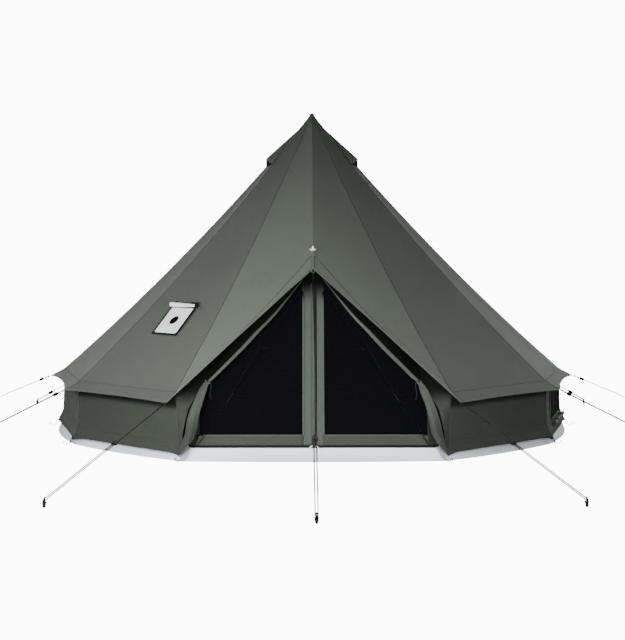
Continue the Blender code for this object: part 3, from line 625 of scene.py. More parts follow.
def canopy_point(panel, s, row):
    """A point of the canopy between profile number panel and the next, s of the way across."""
    left, right = profile_point(panel, row), profile_point(panel + 1, row)
    point = left.lerp(right, s)
    bow = 4 * s * (1 - s)
    from_ridge = min(panel, SIDES - 1 - panel)
    if row > 1:
        scoop = (AWNING_SCOOP, FRONT_SCOOP)[from_ridge] if from_ridge < 2 else VALANCE_SCOOP
        above = straight_point(panel, s, 1)
        point = point + (above - point).normalized() * scoop * bow * (row - 1)
    down = straight_point(panel, s, min(row + 0.02, 2)) - straight_point(panel, s, max(row - 0.02, 0))
    normal = down.cross(right - left).normalized()
    width = (right - left).length
    sag = PANEL_SAG * bow * sin(pi * row ** 0.8) if row < 1 else 0
    soft = bow ** 0.5 * ease(row, 0.03, 0.25) * min(width, 1)
    wave = 0.0030 * ripple(point, 2.1, panel * 3.1) + 0.0012 * ripple(point, 6.5, panel + 9)
    fan = 0.0
    for tip_index, away in ((panel, s), (panel + 1, 1 - s)):
        gap = (point - profile_point(tip_index, 2)).length
        if tip_index % SIDES and gap < 0.7:
            fan += rays(gap, away * width, 0.0030, 9, 0, 0.02, 0.0, 0.16)
    if panel in FRONT_PANELS:
        away = (s if panel == 0 else 1 - s) * width
        fan += rays((point - PIN_POINT).length, away, 0.0036, 11, panel, 0.03, 0.02, 0.15)
    return point - normal * sag + normal * (wave * soft + fan * bow ** 0.4)


def build_canopy():
    rows = [CROWN_ROW] + spread(0, 1, ROOF_STEPS)[1:] + spread(1, 2, VALANCE_STEPS)[1:]
    columns = [
        [canopy_point(panel, step / PANEL_STEPS, row) for row in rows]
        for panel in range(SIDES) for step in range(PANEL_STEPS)
    ]
    creases = [panel * PANEL_STEPS for panel in range(SIDES)]
    canopy = cloth("canopy_cloth", columns, "canvas", closed=True, creases=creases)
    # The two front panels take the lighter front canvas: painted light.
    canopy.data.materials.append(FINISHES["front_canvas"])
    for face in canopy.data.polygons:
        if face.index // (PANEL_STEPS * (len(rows) - 1)) in FRONT_PANELS:
            face.material_index = 1
    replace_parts(canopy, "roof_canopy")
    return canopy


def canopy_normal(panel, s, row):
    step = 0.01
    across = canopy_point(panel, min(s + step, 1), row) - canopy_point(panel, max(s - step, 0), row)
    down = canopy_point(panel, s, min(row + step, 2)) - canopy_point(panel, s, max(row - step, 0.02))
    return down.cross(across).normalized()


def hip_normal(index, row):
    return (canopy_normal((index - 1) % SIDES, 1, row) + canopy_normal(index % SIDES, 0, row)).normalized()


def along_canopy(panel, places):
    """Points and normals of the canopy at (share across, row) places."""
    points = [canopy_point(panel, s, row) for s, row in places]
    return points, [canopy_normal(panel, s, row) for s, row in places]


def build_hip_seams():
    """A narrow felled seam down each hip, from under the peak's cap to the tip."""
    parts = []
    rows = spread(0.038, 1, 30) + spread(1, 2, 4)[1:]
    for index in range(1, SIDES):
        path = [profile_point(index, row) for row in rows]
        normals = [hip_normal(index, row) for row in rows]
        width = [0.004 + 0.003 * min(row, 1) for row in rows]
        parts.append(ribbon(f"hip_seam_{index}", path, normals, width, SEAM_THICKNESS, "seam"))
    joined("hip_seams", parts)


def build_level_seams():
    """The stitching where the valance joins the roof, and the valance's hem."""
    for name, row, width, thick, first, finish in (
        ("eave_seam", 1.0, 0.005, SEAM_THICKNESS, 1, "seam"),
        ("valance_hem", 1.93, 0.016, 0.0014, 0, "canvas"),
    ):
        parts = []
        for panel in range(first, SIDES - first):
            path, normals = along_canopy(panel, [(s, row) for s in spread(0, 1, 16)])
            # Front panels take the lighter front canvas: painted light.
            finish_with_painted_light = "front_canvas" if panel in FRONT_PANELS else finish
            parts.append(ribbon(f"{name}_{panel}", path, normals, width, thick, finish_with_painted_light))
        joined(name, parts)


def build_front_hem():
    """The stiffened edges over the doors: two rows of stitching from the washer down, and a bound edge."""
    parts = []
    for panel in FRONT_PANELS:
        for start in (FRONT_HEM_START, FRONT_HEM_START + 0.06):
            fall = FRONT_HEM_END - start
            shares = spread(0.012, FRONT_HEM_REACH, 36)
            places = [(s, start + fall * (s / FRONT_HEM_REACH) ** 0.9) for s in shares]
            if panel:
                places = [(1 - s, row) for s, row in reversed(places)]
            path, normals = along_canopy(panel, places)
            parts.append(ribbon(f"front_hem_{panel}_{start}", path, normals, 0.0032, SEAM_THICKNESS, "stitch"))
    for panel in FRONT_PANELS:
        path, normals = along_canopy(panel, [(s, 1.985) for s in spread(0, 1, 28)])
        edge = [point + normal * 0.0005 for point, normal in zip(path, normals)]
        parts.append(tube(f"front_edge_{panel}", edge, 0.0026, "binding", sides=8))
    joined("front_hem", parts)


def build_ridge_webbing():
    """The strip from the washer to the awning's point, folded over the ridge."""
    rows = spread(FRONT_HEM_START, 2.0, 12)
    path = [profile_point(0, row) for row in rows]
    normals = [hip_normal(0, min(row, 1.9)) for row in rows]
    parts = [ribbon("ridge_webbing", path, normals, 0.022, 0.0022, "front_canvas")]
    for side in (-1, 1):
        edge = [p + ACROSS * side * 0.0085 + n * 0.0016 for p, n in zip(path, normals)]
        parts.append(ribbon(f"ridge_stitch_{side}", edge, normals, 0.0024, 0.0012, "stitch"))
    joined("ridge_webbing", parts)


def cap_row(panel, s):
    """How far down the canopy the cap's edge is, at one height all round."""
    ridge = (RIDGE_TOP.z - CAP_HEIGHT) / (RIDGE_TOP.z - PIN_POINT.z)
    if panel in FRONT_PANELS:
        return ridge + (CAP_ROW - ridge) * (s if panel == 0 else 1 - s)
    return CAP_ROW


def build_peak_cap():
    """The doubled cloth at the peak, with a rounded crown and a curved seam."""
    columns, edge = [], []
    for panel in range(SIDES):
        for step in range(CAP_STEPS):
            s = step / CAP_STEPS
            last = cap_row(panel, s)
            rim = canopy_point(panel, s, last)
            column = []
            for angle in map(radians, (0.0, 12, 24, 36, 46)):
                drop = CROWN_RADIUS * (1 - cos(angle))
                column.append(level(rim) * (CROWN_RADIUS * sin(angle) + 0.0002) + UP * (CROWN_HEIGHT - drop))
            for share in (0.34, 0.5, 0.66, 0.83, 1.0):
                normal = canopy_normal(panel, s, max(last * share, 0.03))
                stand = 0.0014 + 0.0050 * (1 - share)
                column.append(canopy_point(panel, s, last * share) + normal * stand)
            columns.append(column)
            edge.append(rim + canopy_normal(panel, s, 0.06) * 0.0016)
    cloth("peak_cap", columns, "canvas", closed=True, solid=0.0010)
    tube("peak_cap_seam", edge, 0.0018, "stitch", closed=True, sides=6)


# Wall and groundsheet

WALL_PANELS = SIDES - 2
WALL_STEPS = 28
WALL_WIDTH = 1.03
HEM_LIFT = 0.006
HEM_REACH = 0.05
HEM_DROP = 0.011
FOOT_SPREAD = 0.045
BAND_STEPS = 14
BAND_SHARES = (0, 0.15, 0.3, 0.45, 0.58, 0.68, 0.78, 0.87, 0.94, 1)
FLOOR_SHARES = (1.0, 0.985, 0.93, 0.8, 0.6, 0.4, 0.2, 0.02)


def wall_radius(height):
    """Distance of the wall from the pole at a hip."""
    if height >= FLARE_HEIGHT:
        return EAVE_RADIUS + WALL_FLARE * (WALL_TOP - height) / (WALL_TOP - FLARE_HEIGHT)
    low = (FLARE_HEIGHT - height) / (FLARE_HEIGHT - WALL_HEM_HEIGHT)
    return EAVE_RADIUS + WALL_FLARE + (BASE_RADIUS - EAVE_RADIUS) * low


def wall_hip(index, height):
    azimuth = BASE_HIPS[index] + (EAVE_HIPS[index] - BASE_HIPS[index]) * height / WALL_TOP
    return polar(wall_radius(height), azimuth, height)


def wall_way(panel):
    return polar(1, (BASE_HIPS[panel] + BASE_HIPS[panel + 1]) / 2, 0)


def wall_point(panel, s, share):
    """panel 0 to 9 runs from the right door corner round the back. share is 0 at the top, 1 at the hem."""
    bow = 4 * s * (1 - s)
    height = WALL_TOP + (WALL_HEM_HEIGHT - WALL_TOP) * share
    from_corner = min(s, 1 - s) * WALL_WIDTH
    lift = HEM_LIFT * (1 - exp(-from_corner / HEM_REACH)) * ease(share, 0.55, 1)
    drop = HEM_DROP * bell(from_corner, 0, 0.045) * ease(share, 0.75, 1)
    lifted = height + lift - drop
    point = wall_hip(panel, lifted).lerp(wall_hip(panel + 1, lifted), s)
    loose = bow ** 0.5
    folds = 0.0055 * ripple((s * 4, share * 0.8, panel * 2.0), 1.0) * loose * ease(share, 0.05, 0.4)
    low = 0.0068 * ripple((s * 2.4, share * 14, panel * 3.0), 1.0) * loose * ease(share, 0.70, 0.85)
    pleat = 0.0080 * bell(share, 0.79, 0.022) - 0.0065 * bell(share, 0.86, 0.02)
    pleat *= loose * (0.65 + 0.35 * ripple((s * 2.2, panel * 1.3, 0.5), 1.0, 7))
    away = Vector((from_corner, height - WALL_HEM_HEIGHT, 0))
    gap, turn = away.length, min(away.y / max(away.length, 0.005), 1)
    fan = 0.0050 * sin(9 * turn + 0.8) * exp(-gap / 0.13) * ease(gap, 0.01, 0.06) * min(loose * 3, 1)
    belly = -0.010 * bow * sin(pi * share)
    return point + level(point) * (folds + low + pleat + fan) + wall_way(panel) * belly


def build_wall():
    rows = spread(0, 0.7, 16)[:-1] + spread(0.7, 1.0, 24)
    places = [(panel, step / WALL_STEPS) for panel in range(WALL_PANELS) for step in range(WALL_STEPS)]
    columns = [[wall_point(panel, s, row) for row in rows] for panel, s in places + [(WALL_PANELS - 1, 1)]]
    creases = [panel * WALL_STEPS for panel in range(1, WALL_PANELS)]
    wall = cloth("wall_cloth", columns, "wall_canvas", creases=creases)
    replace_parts(wall, "wall_curtain")
    return wall


def build_wall_trim():
    """Hip seams, the join of the lower flap and the hem."""
    parts = []
    for index, azimuth in enumerate(BASE_HIPS):
        panel, s = (index, 0) if index < WALL_PANELS else (index - 1, 1)
        path = [wall_point(panel, s, share) for share in spread(0.04, 0.99, 14)]
        out = polar(1, azimuth, 0)
        parts.append(ribbon(f"wall_seam_{index}", path, out, 0.006, SEAM_THICKNESS, "wall_canvas"))
    for panel in range(WALL_PANELS):
        for share, width, finish in ((0.83, 0.003, "stitch"), (0.985, 0.010, "wall_canvas")):
            path = [wall_point(panel, s, share) for s in spread(0, 1, WALL_STEPS)]
            parts.append(ribbon(f"wall_line_{panel}_{share}", path, wall_way(panel), width, 0.0012, finish))
    joined("wall_trim", parts)


def band_column(k, following, s):
    """From the top of the band down to the ground and in across the floor."""
    low, high = (
        polar(radius, BASE_HIPS[k], height).lerp(polar(radius, BASE_HIPS[following], height), s)
        for radius, height in ((BASE_RADIUS, 0), (BASE_RADIUS - BAND_LEAN, BAND_HEIGHT))
    )
    bow, column = 4 * s * (1 - s), []
    for share in BAND_SHARES:
        point = high.lerp(low, share)
        wave = 0.0022 * ripple((s * 3, share * 2.5, k * 2.7), 1.0) * bow ** 0.5
        point = point + level(low) * wave * ease(1 - share, 0, 0.3)
        point = point + level(low) * FOOT_SPREAD * bow * max(1 - point.z / 0.045, 0) ** 1.5
        point.z = max(point.z, 0.0015)
        column.append(point)
    for inner in FLOOR_SHARES:
        point = low * inner
        point.z = 0.0022 + 0.0012 * ripple(point, 4.0, 2.0) * ease(1 - inner, 0.02, 0.2)
        column.append(point)
    return column


def build_groundsheet():
    """Floor and upstanding band in one sheet, with a bound upper edge."""
    hips = list(range(SIDES - 1))
    columns = [
        band_column(k, following, step / BAND_STEPS)
        for k, following in zip(hips, hips[1:] + [0]) for step in range(BAND_STEPS)
    ]
    tray = cloth("groundsheet_cloth", columns, "groundsheet", closed=True)
    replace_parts(tray, "groundsheet")
    path = [column[0] for column in columns]
    return tray, tube("groundsheet_binding", path, 0.0032, "groundsheet", closed=True, sides=6)


# Window in the right wall

WINDOW_PANEL = 1
WINDOW_ACROSS = 0.60
WINDOW_WIDTH = 0.66
WINDOW_LOW = 0.13
WINDOW_HIGH = 0.40
WINDOW_HEIGHT = WINDOW_HIGH - WINDOW_LOW
WINDOW_LAP = 0.03
WINDOW_ROLL_WIDTH = WINDOW_WIDTH - 0.01
STRAP_RADIUS = 0.0028


def window_frame():
    """As in the CAD: the plane through the wall between the top of its flare and the window's top."""
    low, high = (
        wall_hip(WINDOW_PANEL, height).lerp(wall_hip(WINDOW_PANEL + 1, height), WINDOW_ACROSS)
        for height in (FLARE_HEIGHT, WINDOW_HIGH)
    )
    side = (wall_hip(WINDOW_PANEL + 1, FLARE_HEIGHT) - wall_hip(WINDOW_PANEL, FLARE_HEIGHT)).normalized()
    up = (high - low).normalized()
    middle = (WINDOW_LOW + WINDOW_HIGH) / 2
    return low.lerp(high, (middle - low.z) / (high.z - low.z)), side, up, side.cross(up)


def build_window(wall):
    """The opening, its mesh, its frame and the cover rolled up below it."""
    axes = window_frame()
    centre, side, up, out = axes
    cut_with_box(wall, "window_cutter", axes, (WINDOW_WIDTH / 2, WINDOW_HEIGHT / 2, 0.05))
    width, height = WINDOW_WIDTH + WINDOW_LAP, WINDOW_HEIGHT + WINDOW_LAP

    def screen_point(x, y):
        dent = 0.006 + 0.004 * sin(pi * x) * sin(pi * y)
        return centre + side * (x - 0.5) * width + up * (0.5 - y) * height - out * dent

    columns = [[screen_point(x, y) for y in spread(0, 1, 10)] for x in spread(0, 1, 24)]
    screen = cloth("window_screen", columns, "mesh", solid=0.0006)
    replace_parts(screen, "window_mesh")
    border("window_frame", axes, (WINDOW_WIDTH / 2, WINDOW_HEIGHT / 2), 0.008, 0.022, 0.002, "hem")

    def reach(share, angle):
        uneven = 0.05 * sin(3 * angle + share * 9) + 0.05 * ripple((share * 9, angle, 0), 1)
        return 0.0145 * (1 + uneven) * pinched(share, 0.25, 0.75, 0.14)

    base = centre - up * (WINDOW_HEIGHT / 2 + 0.015) + out * 0.032
    roll = rolled_up("window_roll", base, side, WINDOW_ROLL_WIDTH, up, out, 40, "hem", reach)
    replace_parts(roll, "window_cover")
    straps = []
    for x in (-0.25, 0.25):
        middle = base + side * x * WINDOW_ROLL_WIDTH
        loop = circle(middle, up, out, 0.0150, 20)
        straps.append(tube(f"window_strap_{x}", loop, STRAP_RADIUS, "black_webbing", closed=True, sides=6))
        start, end = (middle + out * 0.017 + side * along for along in (-0.014, 0.014))
        straps.append(box_between(f"window_toggle_{x}", start, end, 0.006, 0.006, out, "black_plastic"))
    joined("window_straps", straps)


# Doors

FOLD_START = 0.002
FOLD_RUN = (LEAF_TOP_HEIGHT - DOOR_BOTTOM_HEIGHT) / (LEAF_HALF_WIDTH - FOLD_START)
STRIP = 0.068
SILL = 0.167
BINDING = (0.012, 0.0020)
CREASE_TOP = 1.348
CREASE_FALL = 0.812
ROLL_SIDES = 40
ROLL_STEPS = 8
ROLL_PATH = smooth_route(ROLL_ROUTE, ROLL_STEPS)
KNEE = 7 * ROLL_STEPS


def fold_across(height):
    """How far from the zip the leaf's fold line is at this height."""
    return FOLD_START + (LEAF_TOP_HEIGHT - height) / FOLD_RUN


def fold_height(across):
    return LEAF_TOP_HEIGHT - (across - FOLD_START) * FOLD_RUN


def crease_height(across):
    """Where the door's plane meets the canopy, this far from the zip."""
    return CREASE_TOP - CREASE_FALL * across


def in_order(side, found):
    """Left to right, for what was made from the zip outwards on one side of it."""
    return found[::side]


def leaf_patch(name, side, span, low, high, finish, body, out, rows=26, columns=14, solid=DOUBLE_CLOTH, wave=0.0):
    """Part of a leaf between two heights. span gives its inner and outer distance from the zip at a height."""
    def point(share, height):
        inner, outer = span(height)
        across = inner + (outer - inner) * share
        bend = wave * ripple((across * 6, height * 5, side * 4), 1.0)
        return door_point(side * across, height, out + bend)

    heights = spread(high, low, rows)
    lines = [[point(share, height) for height in heights] for share in spread(0, 1, columns)]
    return cloth(name, in_order(side, lines), finish, body=body, solid=solid)


def build_leaf(side, label):
    """Mesh with canvas borders along the zip and the foot, on the swinging body."""
    body = f"door_{label}"
    top = fold_height(STRIP)
    screen = leaf_patch(
        f"leaf_mesh_{label}", side, lambda h: (STRIP - 0.006, max(fold_across(h), STRIP - 0.005)),
        SILL - 0.006, top, "mesh", body, 0.0, wave=0.003, solid=0.0
    )
    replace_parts(screen, f"mesh_door_{label}")
    whole = f"leaf_border_{label}"
    parts = [
        leaf_patch(
            whole, side, lambda h: (FOLD_START, min(fold_across(h), STRIP)), DOOR_BOTTOM_HEIGHT,
            LEAF_TOP_HEIGHT - 0.01, "door_canvas", body, 0.0008, columns=6, wave=0.0016
        ),
        leaf_patch(
            f"leaf_sill_{label}", side, lambda h: (STRIP - 0.002, fold_across(h) - 0.003),
            DOOR_BOTTOM_HEIGHT, SILL, "sill_canvas", body, 0.0008, rows=8, columns=30, wave=0.004
        ),
    ]
    edge = [door_point(side * STRIP, height, 0.0016) for height in spread(SILL, top - 0.02, 20)]
    parts.append(ribbon(f"leaf_binding_{label}", edge, DOOR_OUT, *BINDING, "door_canvas", body))
    rail = [door_point(side * across, SILL, 0.0016) for across in spread(STRIP, fold_across(SILL), 12)]
    parts.append(
        ribbon(f"leaf_rail_{label}", in_order(side, rail), DOOR_OUT, 0.008, 0.0016, "door_canvas", body)
    )
    whole = joined(whole, parts)


def build_zip():
    """Tape and seams between the leaves, and the narrow flap that stands over them. The black tape beside the flap
    is drawn wide over its shade: partly tape, partly painted shade.
    """
    heights = spread(DOOR_BOTTOM_HEIGHT, 1.20, 30)

    def line(name, across, out, width, thick, finish, body):
        top = LEAF_TOP_HEIGHT - (abs(across) + width / 2 + 0.002) * FOLD_RUN
        path = [door_point(across, min(h, top), out) for h in heights if h < top + 0.036]
        return ribbon(name, path, DOOR_OUT, width, thick, finish, body)

    line("zip_edge_fold", -0.0065, 0.0018, 0.0055, 0.0030, "door_binding", "door_left")
    line("zip_seam_line", -0.0125, 0.0018, 0.0040, 0.0008, "stitch", "door_left")
    # Black tape, drawn wide over the shade beside the flap: partly real tape, partly painted shade.
    tape = line("zip_tape_and_shade_right", 0.0175, 0.0022, 0.0150, 0.0014, "black_webbing", "door_right")
    line("zip_edge_right", 0.0275, 0.0018, 0.0045, 0.0026, "door_binding", "door_right")

    def flap_point(share, h):
        out = 0.0040 + 0.0060 * sin(pi * min(share * 1.15, 1)) + 0.0012 * ripple((share, h * 6, 1), 1)
        return door_point(-0.002 + 0.0115 * share, h, out)

    columns = [[flap_point(share, h) for h in reversed(heights)] for share in spread(0, 1, 6)]
    flap = cloth("zip_flap", columns, "door_binding", body="door_left", solid=0.0014)


def build_zip_slider():
    """The black slider at the foot of the zip, with its bridge and its pull."""
    foot = door_point(-0.0065, DOOR_BOTTOM_HEIGHT, 0.0068)

    def bar(name, low, high, low_out, high_out, width, depth, taper=1.0):
        start, end = foot + DOOR_UP * low + DOOR_OUT * low_out, foot + DOOR_UP * high + DOOR_OUT * high_out
        return box_between(name, start, end, width, depth, DOOR_OUT, "black_plastic", "slider", taper)

    parts = [
        bar("zip_slider_body", 0.030, 0.058, 0, 0, 0.012, 0.008),
        bar("zip_slider_bridge", 0.036, 0.054, 0.004, 0.004, 0.005, 0.005),
    ]
    bar("zip_pull", 0.004, 0.038, 0.003, 0.004, 0.0075, 0.0030, 0.7)
    slider = joined("slider_detail", parts)
    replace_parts(slider, "zip_slider")


def build_side(side, label):
    """The fixed front between fold line, canopy and wall: mesh beside the door, canvas round it."""
    hip = roof_point(side * DOOR_EAVE_ANGLE, CREASE_RADIUS) - UP * 0.016
    top = door_point(side * 0.004, LEAF_TOP_HEIGHT)
    ridge = door_point(side * 0.006, 1.35)
    foot = door_point(side * (LEAF_HALF_WIDTH + 0.003), DOOR_BOTTOM_HEIGHT)
    inner, outer = spread(top, foot, 24), spread(ridge, hip, 12) + spread(hip, foot, 12)[1:]
    columns = [[a.lerp(b, share) for a, b in zip(inner, outer)] for share in spread(0, 1, 4)]
    gauze = cloth(f"side_mesh_{label}", in_order(side, columns), "mesh", solid=0.0)
    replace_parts(gauze, f"door_side_{label}")

    strip = []
    for across in spread(FOLD_START, STRIP, 6):
        heights = spread(crease_height(across) - 0.006, fold_height(across), 12)
        strip.append([door_point(side * across, height, 0.0008) for height in heights])
    whole = f"side_border_{label}"
    parts = [
        cloth(whole, in_order(side, strip), "door_canvas", solid=DOUBLE_CLOTH),
        leaf_patch(
            f"side_sill_{label}", side, lambda h: (fold_across(h) + 0.002, 0.800 - 0.32 * (h - DOOR_BOTTOM_HEIGHT)),
            DOOR_BOTTOM_HEIGHT, SILL, "sill_canvas", "tent", 0.0010, rows=8, columns=4
        ),
        # The foot beside the door, darkened as painted shade.
        leaf_patch(
            f"side_foot_{label}", side, lambda h: (0.775, 0.87), DOOR_BOTTOM_HEIGHT, 0.46, "foot_canvas",
            "tent", 0.0004, rows=14, columns=6, wave=0.004
        ),
    ]
    heights = spread(fold_height(STRIP) + 0.010, crease_height(STRIP) - 0.010, 8)
    edge = [door_point(side * STRIP, height, 0.0016) for height in heights]
    parts.append(ribbon(f"side_binding_{label}", edge, DOOR_OUT, *BINDING, "door_canvas"))
    joined(whole, parts)


def curtain_edge(side, share):
    """The outer edge of a tied-back curtain: along the canopy to the hip, then down the wall's front edge."""
    corners = [
        door_point(side * across, crease_height(across) - 0.004, out)
        for across, out in ((0.72, 0.010), (0.795, 0.006))
    ]
    for height in (WALL_TOP, 0.25, WALL_HEM_HEIGHT + 0.006):
        corner = wall_hip(0, height)
        corners.append(Vector((side * (abs(corner.x) + 0.003), corner.y - 0.003, corner.z - 0.004)))
    place = share * (len(corners) - 1)
    index = min(int(place), len(corners) - 2)
    return corners[index].lerp(corners[index + 1], place - index)


def build_curtain(side, label):
    """The canvas door above and beside its roll: folds under the awning, nearly black as painted shadow, and the
    return to the wall, darkened as painted shade, with a nearly black tuck beside the roll as painted shadow.
    """
    last = len(ROLL_PATH) - 1
    centre = door_point(side * ROLL_PATH[KNEE][0], *ROLL_PATH[KNEE][1:3])

    def above(index):
        across = ROLL_PATH[index][0]
        return door_point(side * across, crease_height(across) - 0.004, 0.010)

    def beside(index):
        return curtain_edge(side, (index - KNEE) / (last - KNEE))

    def column(index, edge_at, amplitude, folds, piece):
        across, height, out, half = ROLL_PATH[index]
        front = half * 1.12 + 0.004 if index <= KNEE else 0
        start, roll_side = edge_at(index), door_point(side * across, height, out + front)
        split = min(max(1 - (half + 0.017) / (roll_side - start).length, 0.3), 0.92)
        begin, end = {"whole": (0, 1), "outer": (0, split), "tuck": (split, 1)}[piece]
        found = []
        for along in spread(0, 1, 16):
            t = begin + (end - begin) * along
            point = start.lerp(roll_side, t)
            away = point - centre
            angle = away.dot(UP) / max(away.length, 0.01)
            swell = sin(pi * t) ** 0.8
            near = exp(-away.length / 0.30)
            fold = amplitude * sin(folds * angle + 1.0) * (0.35 + near) * swell
            fold += amplitude * 0.6 * ripple(point, 7.0, 3) * swell
            tuck = 0.018 * ease(along, 0, 0.3) * (1 - ease(along, 0.7, 1)) if piece == "tuck" else 0
            found.append(point + DOOR_OUT * (0.010 * swell + fold - tuck))
        return found

    def sheet(name, indices, finish, *shape):
        columns = [column(index, *shape) for index in indices]
        return cloth(f"{name}_{label}", in_order(side, columns), finish)

    # Nearly black: painted shadow under the awning.
    upper = sheet("curtain_top", range(KNEE + 1), "painted_shadow_cloth", above, 0.006, 26, "whole")
    lower = sheet("curtain_side", range(KNEE, last + 1), "side_canvas", beside, 0.007, 16, "outer")
    # A nearly black tuck between the return and the roll: painted shadow.
    fold = sheet("curtain_fold", range(KNEE, last + 1), "painted_shadow_cloth", beside, 0.007, 16, "tuck")


def build_roll(side, label):
    """A canvas door gathered into pleats, pinched by its tie at the knee and hanging open below."""
    spine = [door_point(side * across, height, out) for across, height, out, _ in ROLL_PATH]
    rings = []
    for index, centre in enumerate(spine):
        run = run_at(spine, index)
        across = run.cross(DOOR_OUT).normalized()
        out = across.cross(run).normalized()
        share = index / (len(spine) - 1)
        below = ease(index, KNEE, KNEE + 14)

        def reach(angle):
            turn = angle + 0.7 * sin(3.2 * share) + 0.25 * side
            pleat, fine = abs(sin(2.5 * turn)) ** 0.7, abs(sin(4.5 * turn + 1.3 + 2 * share))
            found = 1 - (0.34 - 0.06 * below) * (1 - pleat) - (0.10 + 0.08 * below) * (1 - fine)
            found *= 1 + 0.10 * ripple((share * 14, sin(angle), cos(angle)), 1.0, side * 5)
            return max(found, 0.35) * ROLL_PATH[index][3] * 1.04

        rings.append(circle(centre, across, out * 0.92, reach, ROLL_SIDES))
    roll = loft(f"curtain_roll_{label}", rings, "roll_canvas")
    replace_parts(roll, f"door_roll_{label}")
    build_tail(side, label, spine[-1], ROLL_PATH[-1][3])


def build_tail(side, label, start, half):
    """The door's lower corner, drawn from the end of its roll to the corner peg."""
    corner = wall_hip(0, 0.048)
    end = Vector((side * (abs(corner.x) + 0.004), corner.y - 0.012, 0.048))
    run = (end - start).normalized()
    across = run.cross(DOOR_OUT).normalized()
    out = across.cross(run).normalized()
    rings = []
    for share in spread(0, 1, 10):
        middle = (start - run * 0.02).lerp(end, share) + DOOR_OUT * 0.005 * sin(pi * share)
        radius = half * 0.80 * (1 - share) ** 0.8 + 0.0045

        def reach(angle):
            return radius * (0.72 + 0.28 * abs(sin(3.5 * angle + 1.2 * share + side)))

        rings.append(circle(middle, across, out * 0.8, reach, ROLL_SIDES))
    loft(f"curtain_tail_{label}", rings, "roll_canvas")


def build_tie(side, label):
    """The cord round the knee, its toggle and its hanging end."""
    above, knee, below = (door_point(side * across, height, out) for across, height, out, _ in ROLL_ROUTE[6:9])
    run = (below - above).normalized()
    sideways = run.cross(DOOR_OUT).normalized()
    front = sideways.cross(run).normalized()
    radius = ROLL_ROUTE[7][3] + 0.0015
    loop = circle(knee, sideways, front, radius, 24)
    parts = [tube(f"tie_loop_{label}", loop, 0.0022, "webbing", closed=True, sides=8)]
    start, end = (knee + front * (radius + 0.004) + sideways * along for along in (-0.016, 0.016))
    parts.append(box_between(f"tie_toggle_{label}", start, end, 0.007, 0.007, front, "black_plastic"))
    start = knee + front * 0.004 - ACROSS * side * 0.022
    hang = smooth_path([start + Vector((side * -0.004 * sin(k), 0, -0.018 * k)) for k in range(9)], 3)
    parts.append(tube(f"tie_end_{label}", hang, 0.0014, "stitch", sides=6))
    joined(f"door_tie_{label}", parts)


# Stove jack

JACK_WIDTH = 0.262
JACK_LENGTH = 0.277
JACK_HOLE = 0.039
JACK_SPOKES = 48
JACK_RADIUS = 1.472


def jack_frame():
    """As in the CAD: centre, across, up-slope and outward directions on the roof panel left of the doors."""
    centre, below = (
        roof_point(-60, radius).lerp(roof_point(-DOOR_EAVE_ANGLE, radius), 0.485)
        for radius in (JACK_RADIUS, JACK_RADIUS + 0.002)
    )
    side = (roof_point(-DOOR_EAVE_ANGLE, JACK_RADIUS) - roof_point(-60, JACK_RADIUS)).normalized()
    out = (below - centre).cross(side).normalized()
    return centre, side, out.cross(side), out


def build_stove_jack():
    """The panel round the flue's opening, its black border, its ring and the dark well behind it."""
    centre, side, up, out = jack_frame()
    face = centre + out * 0.0075
    half_w, half_l = JACK_WIDTH / 2 - 0.014, JACK_LENGTH / 2 - 0.014

    def spoke(angle):
        x, y = cos(angle), sin(angle)
        reach = min(half_w / abs(x) if abs(x) > 1e-6 else 9, half_l / abs(y) if abs(y) > 1e-6 else 9)
        found = []
        for share in spread(0, 1, 6):
            distance = JACK_HOLE + (reach - JACK_HOLE) * share
            swell = 0.0012 * sin(pi * share) + 0.0006 * ripple((x * 2, y * 2, share), 1.5)
            found.append(face + side * x * distance + up * y * distance + out * swell)
        return found

    columns = [spoke(2 * pi * k / JACK_SPOKES) for k in reversed(range(JACK_SPOKES))]
    panel = cloth("jack_panel_cloth", columns, "jack_cloth", closed=True, solid=0.002)
    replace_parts(panel, "stove_jack_panel")
    halves = JACK_WIDTH / 2 - 0.006, JACK_LENGTH / 2 - 0.006
    border("jack_border", (face, side, up, out), halves, 0.006, 0.018, 0.0018, "black_cloth")
    ring = circle(face + out * 0.001, side, up, JACK_HOLE + 0.004, 40)
    tube("jack_ring", ring, 0.0030, "jack_cloth", closed=True, sides=8)
    levels = ((0.045, 0.060), (0.020, 0.060), (0.019, 0.058))
    loft("jack_well", [circle(face - out * depth, side, up, radius, 32) for depth, radius in levels], "vent_mesh")
    build_jack_rolls(centre, side, up, out)


